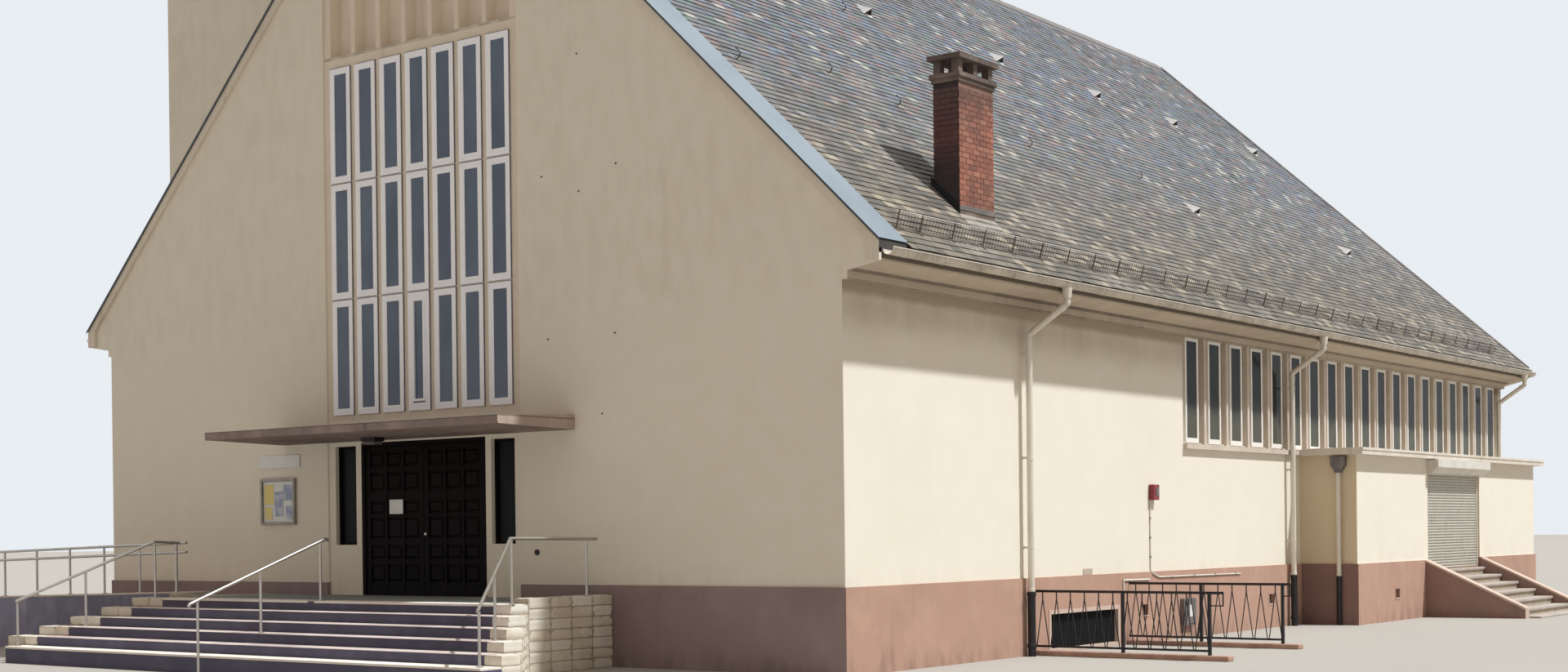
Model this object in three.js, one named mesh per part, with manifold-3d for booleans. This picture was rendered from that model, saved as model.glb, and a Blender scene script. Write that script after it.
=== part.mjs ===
// A church with a steep slate roof, a tall window group in its gabled front, a low side annex and a bell tower.
// Millimetres, +Z up. The origin is on the ground under the middle of the front wall's face; +Y runs to the rear.
import * as THREE from "three";
import { mergeVertices } from "three/addons/utils/BufferGeometryUtils.js";
import Module from "manifold-3d";

const wasm = await Module();
wasm.setup();

// Nave
const HALF_WIDTH = 7500;
const WALL = 350;
const PLINTH_TOP = 1087;
const PLINTH_PROUD = 30;
const FLOOR_TOP = 890;
const FLOOR_THICKNESS = 200;
const REAR_CENTRE_Y = 24040;
const REAR_FACETS = 12;
const CONTACT_GAP = 0.3;

// Roof
const ROOF_SLOPE = 0.953;
const EAVE_OUT = 582;
const EAVE_TIP_TOP = 5273;
const ROOF_DEPTH = 160;
const VERGE_PROUD = 50;
const RIDGE_TOP = EAVE_TIP_TOP + ROOF_SLOPE * (HALF_WIDTH + EAVE_OUT);

// Eave cornice, gutter and downpipes
const CORNICE_FOOT = 4839;
const CORNICE_BAND_OUT = 80;
const CORNICE_BAND_TOP = 4940;
const FASCIA_OUT = 568;
const FASCIA_FOOT = 5020;
const GUTTER_RADIUS = 75;
const GUTTER_SHEET = 6;
const GUTTER_RIM = 5157;
const GUTTER_START_Y = 30;
const PIPE_STATIONS = [4320, 13630, 25500];
const PIPE_RADIUS = 46;
const PIPE_OUTLET_SHIFT = 130;
const PIPE_FOOT_RADIUS = 60;
const PIPE_FOOT_TOP = 900;
const PIPE_WALL_OUT = 121;

// Front: portal, window group and fluted panel
const STRIP_HALF = 2030;
const STRIP_RECESS = 30;
const DOOR_HALF = 1309;
const DOOR_TOP = 3164;
const DOOR_FRAME = 60;
const DOOR_CLEARANCE = 5;
const LEAF_FRONT_Y = 60;
const LEAF_THICKNESS = 60;
const LEAF_FLOOR_GAP = 10;
const HINGE_X = 1240;
const HINGE_Y = LEAF_FRONT_Y + LEAF_THICKNESS + 9;
const KNUCKLE_RADIUS = 8;
const KNUCKLE_HEIGHT = 60;
const HINGE_HEIGHTS = [1150, 2000, 2850];
const SIDELIGHT_INNER = 1422;
const SIDELIGHT_OUTER = 1885;
const SIDELIGHT_SILL = 1650;
const SIDELIGHT_HEAD = 3126;
const SIDELIGHT_GLASS_Y = 125;
const WINDOW_COLUMNS = 7;
const WINDOW_ROWS = 3;
const WINDOW_WIDTH = 463;
const WINDOW_HEIGHT = 1677;
const COLUMN_PITCH = 551;
const RIB = COLUMN_PITCH - WINDOW_WIDTH;
const WINDOW_FOOT = 3592;
const LATTICE_DEPTH = 60;
const GLASS = 20;
const FLUTE_DEPTH = 190;
const FLUTE_HEAD_MARGIN = 500;
const LATTICE_FOOT = WINDOW_FOOT - RIB;
const LATTICE_TOP = WINDOW_FOOT + WINDOW_ROWS * (WINDOW_HEIGHT + RIB);

// Canopy over the door
const CANOPY_HALF = 3057;
const CANOPY_REACH = 1446;
const CANOPY_TOP = 3336;
const CANOPY_ROOT_TOP = 3395;
const CANOPY_ROOT_FOOT = 3190;
const CANOPY_TIP_FOOT = 3226;

// Side window band
const BAND_START_Y = 9450;
const BAND_END_Y = 25850;
const BAND_FOOT = 3053;
const BAND_HEAD = 4839;
const BAND_WINDOWS = 19;
const BAND_WINDOW_WIDTH = 490;
const BAND_RAIL = 60;
const BAND_PLATE_OUTER = HALF_WIDTH - 80;
const BAND_PLATE = 40;
const FIN_WIDTH = 100;
const SILL_HEIGHT = 80;
const SILL_PROUD = 70;
const SILL_TOP = BAND_FOOT + 60;

// Front steps, granite cheeks and handrails
const LANDING_TOP = 902;
const LANDING_FRONT_Y = -1950;
const LANDING_HALF = 3440;
const RISER = 132;
const TREAD = 330;
const STEP_COUNT = 5;
const STEP_SPLAY = 290;
const CHEEK_WIDTH = { right: 300, left: 770 };
const BORDER_WIDTH = 300;
const BORDER_TOP = 970;
const RAIL_RADIUS = 21;
const SIDE_RAIL_X = 3700;
const SIDE_RAIL_TOP = 1730;
const SIDE_RAIL_LOW = new THREE.Vector3(4750, -3500, 890);

// Access ramp beside the steps
const RAMP_END_X = -9900;
const RAMP_FRONT_Y = -1200;
const RAMP_END_TOP = 740;
const RAMP_KERB = 120;
const RAMP_KERB_RISE = 80;
const RAMP_BAYS = 6;
const RAMP_FIRST_POST_X = -4200;
const RAMP_RAIL_TOP = 740;
const RAMP_RAIL_MID = 600;

// Chimney
const CHIMNEY_X = [6900, 7300];
const CHIMNEY_Y = [3060, 3955];
const CHIMNEY_SHAFT_TOP = 7830;
const CHIMNEY_CORBEL = 120;
const CHIMNEY_GAP = 185;
const CHIMNEY_SLAB = 66;
const CHIMNEY_PROUD = 45;

// Annex on the right side
const ANNEX_OUT = 1048;
const ANNEX_Y = [14230, 24850];
const ANNEX_WALL = 250;
const ANNEX_ROOF_FOOT = 3020;
const ANNEX_ROOF_DEPTH = 110;
const ANNEX_ROOF_PROUD = 170;
const SHUTTER_Y = [17940, 21070];
const SHUTTER_TOP = 2774;
const SHUTTER_BOX_TOP = 3012;
const SHUTTER_BOX_OUT = 222;
const ANNEX_STEPS = 5;
const ANNEX_TREAD = 333;
const ANNEX_RISER = 145;
const ANNEX_FIRST_NOSE = 8665;
const ANNEX_LAST_SLAB = [10638, 35];
const PARAPET = 230;
const PARAPET_REACH = 1842;
const PARAPET_HIGH = 1086;
const PARAPET_LOW = 200;

// Basement access on the right side
const BASEMENT_Y = [5000, 7100];
const BASEMENT_TOP = 580;
const VENT_Z = [410, 600];
const PLINTH_VENTS = [[7890, 8090], [12730, 12950]];
const ANNEX_VENT = [16050, 16280];
const RAILING_HEIGHT = 900;
const RAILING_FOOT = 130;
const KERB_WIDTH = 180;
const KERB_TOP = 70;
const RAILING_ZIGZAG = 210;

// Bell tower on the left side
const TOWER_X = [-12500, -HALF_WIDTH];
const TOWER_Y = [4800, 9400];
const TOWER_TOP = 21600;
const TOWER_CAP = 250;
const TOWER_SLOTS = 5;
const TOWER_SLOT_WIDTH = 300;
const TOWER_SLOT_FOOT = 18000;
const TOWER_SLOT_TOP = 20600;

// Finishes
const finish = (color, roughness, metalness = 0) =>
  new THREE.MeshStandardMaterial({ color, roughness, metalness });
const RENDER = finish(0xd8c8a8, 0.9);
const PLINTH = finish(0xb49484, 0.9);
const CONCRETE = finish(0xb8a890, 0.9);
const PALE_CONCRETE = finish(0xcdbfae, 0.85);
const SLATE = finish(0x7c7880, 0.8);
const ZINC = finish(0x9fb2c6, 0.45, 0.7);
const GUTTER_METAL = finish(0xd2cabb, 0.5, 0.4);
const BRICK = finish(0x9c5a44, 0.9);
const GRANITE = finish(0xc2b8a8, 0.85);
const STEP_STONE = finish(0x565268, 0.8);
const STEEL = finish(0xb8b4ac, 0.35, 0.8);
const BLACK_IRON = finish(0x1b1b1e, 0.6, 0.5);
const DARK_WOOD = finish(0x2a1c18, 0.65);
const GLAZING = finish(0x4c5a68, 0.15, 0.1);
const SHUTTER_METAL = finish(0xb4b2aa, 0.5, 0.5);

const church = new THREE.Group();

// Helpers that make closed solids

// A closed geometry as a solid that can be joined and cut.
function toSolid(geometry) {
  const bare = geometry.index ? geometry.toNonIndexed() : geometry.clone();
  bare.deleteAttribute("normal");
  bare.deleteAttribute("uv");
  const merged = mergeVertices(bare, 1e-3);
  return new wasm.Manifold(
    new wasm.Mesh({
      numProp: 3,
      vertProperties: merged.attributes.position.array,
      triVerts: new Uint32Array(merged.index.array),
    }),
  );
}

// A solid as a named mesh in the group.
function addPiece(name, solid, material) {
  const { vertProperties, triVerts } = solid.getMesh();
  const geometry = new THREE.BufferGeometry();
  geometry.setAttribute("position", new THREE.BufferAttribute(vertProperties, 3));
  geometry.setIndex(new THREE.BufferAttribute(triVerts, 1));
  geometry.computeVertexNormals();
  const mesh = new THREE.Mesh(geometry, material);
  mesh.name = name;
  church.add(mesh);
}

const joined = (solids) => solids.reduce((whole, part) => whole.add(part));

function box([x0, x1], [y0, y1], [z0, z1]) {
  const geometry = new THREE.BoxGeometry(x1 - x0, y1 - y0, z1 - z0);
  geometry.translate((x0 + x1) / 2, (y0 + y1) / 2, (z0 + z1) / 2);
  return toSolid(geometry);
}

// An outline carried through a depth; the outline may be given in either direction.
function extrude(points, depth) {
  const corners = points.map(([u, v]) => new THREE.Vector2(u, v));
  if (THREE.ShapeUtils.area(corners) < 0) corners.reverse();
  return new THREE.ExtrudeGeometry(new THREE.Shape(corners), { depth, bevelEnabled: false });
}

// An outline in X and Z, carried along Y from front to back, with holes cut through it.
function slabXZ(points, [front, back], holes = []) {
  const geometry = extrude(points, back - front);
  geometry.rotateX(Math.PI / 2);
  geometry.translate(0, back, 0);
  return holes.reduce((rest, hole) => rest.subtract(slabXZ(hole, [front - 10, back + 10])), toSolid(geometry));
}

// An outline in Y and Z, carried along X, with holes cut through it.
function slabYZ(points, [low, high], holes = []) {
  const geometry = extrude(points, high - low);
  const turn = new THREE.Matrix4().makeBasis(
    new THREE.Vector3(0, 1, 0),
    new THREE.Vector3(0, 0, 1),
    new THREE.Vector3(1, 0, 0),
  );
  geometry.applyMatrix4(turn);
  geometry.translate(low, 0, 0);
  return holes.reduce((rest, hole) => rest.subtract(slabYZ(hole, [low - 10, high + 10])), toSolid(geometry));
}

// A plan outline, carried up along Z.
function slabXY(points, [low, high]) {
  const geometry = extrude(points, high - low);
  geometry.translate(0, 0, low);
  return toSolid(geometry);
}

const rectangle = ([u0, u1], [v0, v1]) => [[u0, v0], [u1, v0], [u1, v1], [u0, v1]];

function solidFromLists(positions, indices) {
  const geometry = new THREE.BufferGeometry();
  geometry.setAttribute("position", new THREE.Float32BufferAttribute(positions.flat(), 3));
  geometry.setIndex(indices);
  return toSolid(geometry);
}

// A counter-clockwise plan outline between a sloping top, given as a height at each corner, and the same lower down.
function slopingSlab(corners, topHeight, depth) {
  const count = corners.length;
  const contour = corners.map(([x, y]) => new THREE.Vector2(x, y));
  const faces = THREE.ShapeUtils.triangulateShape(contour, []);
  const top = corners.map(([x, y]) => [x, y, topHeight(x, y)]);
  const foot = top.map(([x, y, z]) => [x, y, z - depth]);
  const indices = [];
  for (const [a, b, c] of faces) {
    indices.push(a, b, c, count + c, count + b, count + a);
  }
  for (let i = 0; i < count; i += 1) {
    const next = (i + 1) % count;
    indices.push(count + i, count + next, next, count + i, next, i);
  }
  return solidFromLists([...top, ...foot], indices);
}

// A profile of [out, z] points, counter-clockwise, carried along plan points with mitred corners. Out is to the right.
function sweptAlong(path, profile) {
  const normals = path.slice(1).map(([x, y], i) => {
    const [px, py] = path[i];
    return new THREE.Vector2(y - py, px - x).normalize();
  });
  const positions = [];
  path.forEach(([x, y], i) => {
    const before = normals[Math.max(i - 1, 0)];
    const after = normals[Math.min(i, normals.length - 1)];
    const mitre = before.clone().add(after).divideScalar(1 + before.dot(after));
    for (const [out, z] of profile) positions.push([x + mitre.x * out, y + mitre.y * out, z]);
  });
  const count = profile.length;
  const caps = THREE.ShapeUtils.triangulateShape(profile.map(([u, v]) => new THREE.Vector2(u, v)), []);
  const last = (path.length - 1) * count;
  const indices = [];
  for (const [a, b, c] of caps) indices.push(a, b, c, last + c, last + b, last + a);
  for (let i = 0; i < path.length - 1; i += 1) {
    for (let j = 0; j < count; j += 1) {
      const next = (j + 1) % count;
      const near = i * count;
      const far = near + count;
      indices.push(near + j, far + j, far + next, near + j, far + next, near + next);
    }
  }
  return solidFromLists(positions, indices);
}

// A straight round bar between two points.
function bar(from, to, radius, sides = 8) {
  const along = to.clone().sub(from);
  const geometry = new THREE.CylinderGeometry(radius, radius, along.length(), sides);
  const turn = new THREE.Quaternion().setFromUnitVectors(new THREE.Vector3(0, 1, 0), along.clone().normalize());
  geometry.applyQuaternion(turn);
  geometry.translate(...from.clone().add(to).multiplyScalar(0.5).toArray());
  return toSolid(geometry);
}

// A bent round tube: straight bars with a ball at each bend.
function bentTube(points, radius) {
  const solids = [];
  points.slice(1).forEach((point, i) => solids.push(bar(points[i], point, radius)));
  for (const point of points.slice(1, -1)) {
    const ball = new THREE.SphereGeometry(radius * 1.04, 8, 6);
    ball.translate(point.x, point.y, point.z);
    solids.push(toSolid(ball));
  }
  return joined(solids);
}

const post = (x, y, foot, top) =>
  bar(new THREE.Vector3(x, y, foot), new THREE.Vector3(x, y, top), RAIL_RADIUS);

// Heights and plan corners that the roof and the walls share

// Top of the roof at a distance from the nave's middle line.
const roofTop = (distance) => RIDGE_TOP - ROOF_SLOPE * Math.abs(distance);
const roofFoot = (distance) => roofTop(distance) - ROOF_DEPTH;

// Corners of the polygonal rear end at a distance from its centre line, from the right wall round to the left wall.
function rearCorners(apothem) {
  const step = (2 * Math.PI) / REAR_FACETS;
  const radius = apothem / Math.cos(step / 2);
  return Array.from({ length: REAR_FACETS / 2 }, (_, i) => {
    const angle = step * (i + 0.5);
    return [radius * Math.cos(angle), REAR_CENTRE_Y + radius * Math.sin(angle)];
  });
}

const INNER_HALF = HALF_WIDTH - WALL;
const REAR_START_Y = rearCorners(INNER_HALF)[0][1];

// Plan of the wall round the rear end, from an outer face at a distance from its centre line to the inner face.
function rearRing(apothem) {
  return [
    [apothem, REAR_START_Y],
    ...rearCorners(apothem),
    [-apothem, REAR_START_Y],
    ...rearCorners(INNER_HALF).reverse(),
  ];
}

const WALL_TOP = roofFoot(HALF_WIDTH) - CONTACT_GAP;

// Base of the walls
function addBase() {
  const outer = HALF_WIDTH + PLINTH_PROUD;
  const frontDepth = [-PLINTH_PROUD, WALL];
  addPiece("plinth_front_right", box([STRIP_HALF, outer], frontDepth, [0, PLINTH_TOP]), PLINTH);
  addPiece("plinth_front_left", box([-outer, -STRIP_HALF], frontDepth, [0, PLINTH_TOP]), PLINTH);
  const sill = box([-STRIP_HALF, STRIP_HALF], [STRIP_RECESS, WALL], [0, FLOOR_TOP]);
  addPiece("door_sill_wall", sill, CONCRETE);

  const run = [WALL, REAR_START_Y];
  const opening = box([INNER_HALF - 100, outer + 100], BASEMENT_Y, [-100, BASEMENT_TOP]);
  let right = box([INNER_HALF, outer], run, [0, PLINTH_TOP]).subtract(opening);
  for (const ventY of PLINTH_VENTS) right = right.subtract(box([INNER_HALF - 100, outer + 100], ventY, VENT_Z));
  addPiece("plinth_right", right, PLINTH);
  const towerSeat = box([-outer - 100, -HALF_WIDTH], TOWER_Y, [-100, PLINTH_TOP + 100]);
  addPiece("plinth_left", box([-outer, -INNER_HALF], run, [0, PLINTH_TOP]).subtract(towerSeat), PLINTH);

  addPiece("plinth_rear", slabXY(rearRing(outer), [0, PLINTH_TOP]), PLINTH);

  const floorOutline = [
    [-INNER_HALF, WALL],
    [INNER_HALF, WALL],
    ...rearCorners(INNER_HALF - CONTACT_GAP).map(([x, y]) => [x, y - CONTACT_GAP]),
  ];
  floorOutline.splice(2, 0, [INNER_HALF, REAR_START_Y - 2 * CONTACT_GAP]);
  floorOutline.push([-INNER_HALF, REAR_START_Y - 2 * CONTACT_GAP]);
  addPiece("floor_slab", slabXY(floorOutline, [FLOOR_TOP - FLOOR_THICKNESS, FLOOR_TOP]), CONCRETE);
}

// Front wall: plain gable halves, portal, window lattice and fluted panel
function addFront() {
  const underRoof = (x) => roofFoot(x) - CONTACT_GAP;
  for (const [side, sign] of [["right", 1], ["left", -1]]) {
    const half = [
      [sign * STRIP_HALF, PLINTH_TOP],
      [sign * HALF_WIDTH, PLINTH_TOP],
      [sign * HALF_WIDTH, underRoof(HALF_WIDTH)],
      [sign * STRIP_HALF, underRoof(STRIP_HALF)],
    ];
    addPiece(`front_wall_${side}`, slabXZ(half, [0, WALL]), RENDER);

    const flank = rectangle([sign * DOOR_HALF, sign * STRIP_HALF], [FLOOR_TOP, DOOR_TOP]);
    const slotX = [sign * SIDELIGHT_INNER, sign * SIDELIGHT_OUTER];
    const slot = rectangle(slotX, [SIDELIGHT_SILL, SIDELIGHT_HEAD]);
    addPiece(`portal_wall_${side}`, slabXZ(flank, [STRIP_RECESS, WALL], [slot]), RENDER);
    const pane = slabXZ(slot, [SIDELIGHT_GLASS_Y, SIDELIGHT_GLASS_Y + GLASS]);
    addPiece(`sidelight_glass_${side}`, pane, GLAZING);
  }
  const head = box([-STRIP_HALF, STRIP_HALF], [STRIP_RECESS, WALL], [DOOR_TOP, LATTICE_FOOT]);
  addPiece("portal_head", head, RENDER);

  const columns = Array.from({ length: WINDOW_COLUMNS }, (_, i) => (i - (WINDOW_COLUMNS - 1) / 2) * COLUMN_PITCH);
  const windowHoles = [];
  for (const x of columns) {
    for (let row = 0; row < WINDOW_ROWS; row += 1) {
      const foot = WINDOW_FOOT + row * (WINDOW_HEIGHT + RIB);
      windowHoles.push(rectangle([x - WINDOW_WIDTH / 2, x + WINDOW_WIDTH / 2], [foot, foot + WINDOW_HEIGHT]));
    }
  }
  const latticeOutline = rectangle([-STRIP_HALF, STRIP_HALF], [LATTICE_FOOT, LATTICE_TOP]);
  const latticeBack = STRIP_RECESS + LATTICE_DEPTH;
  addPiece("front_window_lattice", slabXZ(latticeOutline, [STRIP_RECESS, latticeBack], windowHoles), CONCRETE);
  const sheet = box([-STRIP_HALF, STRIP_HALF], [latticeBack, latticeBack + GLASS], [LATTICE_FOOT, LATTICE_TOP]);
  addPiece("front_window_glass", sheet, GLAZING);

  let panel = slabXZ(
    [
      [-STRIP_HALF, LATTICE_TOP],
      [STRIP_HALF, LATTICE_TOP],
      [STRIP_HALF, underRoof(STRIP_HALF)],
      [0, underRoof(0)],
      [-STRIP_HALF, underRoof(STRIP_HALF)],
    ],
    [STRIP_RECESS, WALL],
  );
  for (const x of columns) {
    const [low, high] = [x - WINDOW_WIDTH / 2, x + WINDOW_WIDTH / 2];
    const headAt = (u) => roofFoot(u) - FLUTE_HEAD_MARGIN;
    const flute = [[low, LATTICE_TOP + RIB], [high, LATTICE_TOP + RIB], [high, headAt(high)]];
    if (low * high < 0) flute.push([0, headAt(0)]);
    flute.push([low, headAt(low)]);
    panel = panel.subtract(slabXZ(flute, [STRIP_RECESS - 100, STRIP_RECESS + FLUTE_DEPTH]));
  }
  addPiece("front_fluted_panel", panel, CONCRETE);
}

// Side walls with their window bands, and the wall round the rear end
function addSides() {
  const wallOutline = rectangle([WALL, REAR_START_Y], [PLINTH_TOP, WALL_TOP]);
  const bandOutline = rectangle([BAND_START_Y, BAND_END_Y], [BAND_FOOT, BAND_HEAD]);
  const pitch = (BAND_END_Y - BAND_START_Y) / BAND_WINDOWS;
  const holes = [];
  for (let i = 0; i < BAND_WINDOWS; i += 1) {
    const middle = BAND_START_Y + (i + 0.5) * pitch;
    const span = [middle - BAND_WINDOW_WIDTH / 2, middle + BAND_WINDOW_WIDTH / 2];
    holes.push(rectangle(span, [SILL_TOP, BAND_HEAD - BAND_RAIL]));
  }
  const plateBack = BAND_PLATE_OUTER - BAND_PLATE;
  for (const [side, sign] of [["right", 1], ["left", -1]]) {
    const across = (low, high) => (sign > 0 ? [low, high] : [-high, -low]);
    const wall = slabYZ(wallOutline, across(INNER_HALF, HALF_WIDTH), [bandOutline]);
    addPiece(`side_wall_${side}`, wall, RENDER);

    const solids = [slabYZ(bandOutline, across(plateBack, BAND_PLATE_OUTER), holes)];
    for (let i = 1; i < BAND_WINDOWS; i += 1) {
      const y = BAND_START_Y + i * pitch;
      const fin = [y - FIN_WIDTH / 2, y + FIN_WIDTH / 2];
      solids.push(box(across(BAND_PLATE_OUTER - 10, HALF_WIDTH - 5), fin, [SILL_TOP - 10, BAND_HEAD]));
    }
    solids.push(box(across(BAND_PLATE_OUTER - 10, HALF_WIDTH), [BAND_START_Y, BAND_END_Y], [BAND_FOOT, SILL_TOP]));
    const sillEnd = sign > 0 ? ANNEX_Y[0] - ANNEX_ROOF_PROUD : BAND_END_Y;
    const noseX = across(HALF_WIDTH, HALF_WIDTH + SILL_PROUD);
    solids.push(box(noseX, [BAND_START_Y, sillEnd], [SILL_TOP - SILL_HEIGHT, SILL_TOP]));
    addPiece(`side_mullions_${side}`, joined(solids), PALE_CONCRETE);

    const sheet = box(across(plateBack - GLASS, plateBack), [BAND_START_Y, BAND_END_Y], [BAND_FOOT, BAND_HEAD]);
    addPiece(`side_glass_${side}`, sheet, GLAZING);
  }

  addPiece("rear_wall", slabXY(rearRing(HALF_WIDTH), [PLINTH_TOP, WALL_TOP]), RENDER);
}

// Roof slopes, rear half-pyramid, ridge cap and metal verge strip
function addRoof() {
  const eave = HALF_WIDTH + EAVE_OUT;
  const [, hipEndY] = rearCorners(eave)[0];
  const side = (x) => roofTop(x);
  const right = [[0, -VERGE_PROUD], [eave, -VERGE_PROUD], [eave, hipEndY - CONTACT_GAP], [0, REAR_CENTRE_Y - CONTACT_GAP]];
  addPiece("roof_right", slopingSlab(right, side, ROOF_DEPTH), SLATE);
  const left = right.map(([x, y]) => [-x, y]).reverse();
  const [towerFront, towerBack] = TOWER_Y;
  const towerCut = box(
    [-eave - 100, -HALF_WIDTH],
    [towerFront - CONTACT_GAP, towerBack + CONTACT_GAP],
    [CORNICE_FOOT, RIDGE_TOP],
  );
  addPiece("roof_left", slopingSlab(left, side, ROOF_DEPTH).subtract(towerCut), SLATE);

  const rim = rearCorners(eave);
  const apex = [0, REAR_CENTRE_Y];
  const upper = [[...apex, RIDGE_TOP], ...rim.map(([x, y]) => [x, y, EAVE_TIP_TOP])];
  const lower = upper.map(([x, y, z]) => [x, y, z - ROOF_DEPTH]);
  const count = upper.length;
  const indices = [];
  for (let i = 1; i < count - 1; i += 1) {
    indices.push(0, i, i + 1, count, count + i + 1, count + i);
  }
  for (let i = 0; i < count; i += 1) {
    const next = (i + 1) % count;
    indices.push(count + i, count + next, next, count + i, next, i);
  }
  addPiece("roof_rear", solidFromLists([...upper, ...lower], indices), SLATE);

  const chevron = (half, low, high) => [
    [-half, roofTop(half) + low],
    [0, RIDGE_TOP + low],
    [half, roofTop(half) + low],
    [half, roofTop(half) + high],
    [0, RIDGE_TOP + high],
    [-half, roofTop(half) + high],
  ];
  const stripEnd = 560;
  const lift = 2 * CONTACT_GAP;
  const strip = slabXZ(chevron(eave + 15, lift, 32), [-VERGE_PROUD - 25, stripEnd]);
  const lip = slabXZ(chevron(eave + 15, -10, 32), [-VERGE_PROUD - 25, -VERGE_PROUD - CONTACT_GAP]);
  addPiece("verge_strip", strip.add(lip), ZINC);
  addPiece("ridge_cap", slabXZ(chevron(170, lift, 30), [stripEnd, REAR_CENTRE_Y]), SLATE);
}

// Cornice under the eaves and the half-round gutters, broken where the tower stands
function addEaves() {
  const top = (out) => roofFoot(HALF_WIDTH + out) - 2 * CONTACT_GAP;
  const cornice = [
    [CONTACT_GAP, CORNICE_FOOT],
    [CORNICE_BAND_OUT, CORNICE_FOOT],
    [CORNICE_BAND_OUT, CORNICE_BAND_TOP],
    [FASCIA_OUT, FASCIA_FOOT],
    [FASCIA_OUT, top(FASCIA_OUT)],
    [CONTACT_GAP, top(CONTACT_GAP)],
  ];
  const gutterCentre = EAVE_OUT + CONTACT_GAP + GUTTER_RADIUS;
  const arcSteps = 8;
  const arc = (radius, reverse) => Array.from({ length: arcSteps + 1 }, (_, i) => {
    const share = reverse ? 1 - i / arcSteps : i / arcSteps;
    const angle = Math.PI * (1 + share);
    return [gutterCentre + radius * Math.cos(angle), GUTTER_RIM + radius * Math.sin(angle)];
  });
  const gutter = [...arc(GUTTER_RADIUS, false), ...arc(GUTTER_RADIUS - GUTTER_SHEET, true)];

  const [towerFront, towerBack] = TOWER_Y;
  const round = (start) => [
    [HALF_WIDTH, start],
    ...rearCorners(HALF_WIDTH),
    [-HALF_WIDTH, towerBack + CONTACT_GAP],
  ];
  const frontLeft = (start) => [[-HALF_WIDTH, towerFront - CONTACT_GAP], [-HALF_WIDTH, start]];
  addPiece("cornice", sweptAlong(round(0), cornice), CONCRETE);
  addPiece("cornice_front_left", sweptAlong(frontLeft(0), cornice), CONCRETE);
  addPiece("gutter", sweptAlong(round(GUTTER_START_Y), gutter), GUTTER_METAL);
  addPiece("gutter_front_left", sweptAlong(frontLeft(GUTTER_START_Y), gutter), GUTTER_METAL);

  const gutterFoot = GUTTER_RIM - GUTTER_RADIUS - CONTACT_GAP;
  const clipHeights = [1500, 2750, 4200];
  const names = ["front", "middle", "rear"];
  PIPE_STATIONS.forEach((y, i) => {
    const at = (out, z, shift = 0) => new THREE.Vector3(HALF_WIDTH + out, y + shift, z);
    const spout = [gutterFoot, 4870].map((z) => at(gutterCentre, z, PIPE_OUTLET_SHIFT));
    const bends = [...spout, at(PIPE_WALL_OUT, 4470), at(PIPE_WALL_OUT, 0)];
    const solids = [
      bentTube(bends, PIPE_RADIUS),
      bar(at(PIPE_WALL_OUT, 0), at(PIPE_WALL_OUT, PIPE_FOOT_TOP), PIPE_FOOT_RADIUS),
    ];
    for (const z of clipHeights) {
      const clipX = [HALF_WIDTH + CONTACT_GAP, HALF_WIDTH + PIPE_WALL_OUT];
      solids.push(box(clipX, [y - 15, y + 15], [z, z + 30]));
    }
    addPiece(`downpipe_${names[i]}`, joined(solids), GUTTER_METAL);
  });
}

// Brick chimney with a corbel, and a slab on short pillars
function addChimney() {
  const [x0, x1] = CHIMNEY_X;
  const [y0, y1] = CHIMNEY_Y;
  const seat = (x) => roofTop(x) + CONTACT_GAP;
  const shaft = slabXZ([[x0, seat(x0)], [x1, seat(x1)], [x1, CHIMNEY_SHAFT_TOP], [x0, CHIMNEY_SHAFT_TOP]], CHIMNEY_Y);
  addPiece("chimney_shaft", shaft, BRICK);

  const corbelTop = CHIMNEY_SHAFT_TOP + CHIMNEY_CORBEL;
  const wide = (margin) => [[x0 - margin, x1 + margin], [y0 - margin, y1 + margin]];
  const lowCorbel = box(...wide(CHIMNEY_PROUD / 2), [CHIMNEY_SHAFT_TOP, corbelTop]);
  const highCorbel = box(...wide(CHIMNEY_PROUD), [corbelTop - CHIMNEY_CORBEL / 2, corbelTop]);
  const slabFoot = corbelTop + CHIMNEY_GAP;
  const slab = box(...wide(CHIMNEY_PROUD + 20), [slabFoot, slabFoot + CHIMNEY_SLAB]);
  const solids = [lowCorbel, highCorbel, slab];
  const pillar = 110;
  for (const x of [x0, x1 - pillar]) {
    for (const y of [y0, (y0 + y1 - pillar) / 2, y1 - pillar]) {
      solids.push(box([x, x + pillar], [y, y + pillar], [corbelTop - 10, slabFoot + 10]));
    }
  }
  addPiece("chimney_cap", joined(solids), CONCRETE);
}

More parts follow.
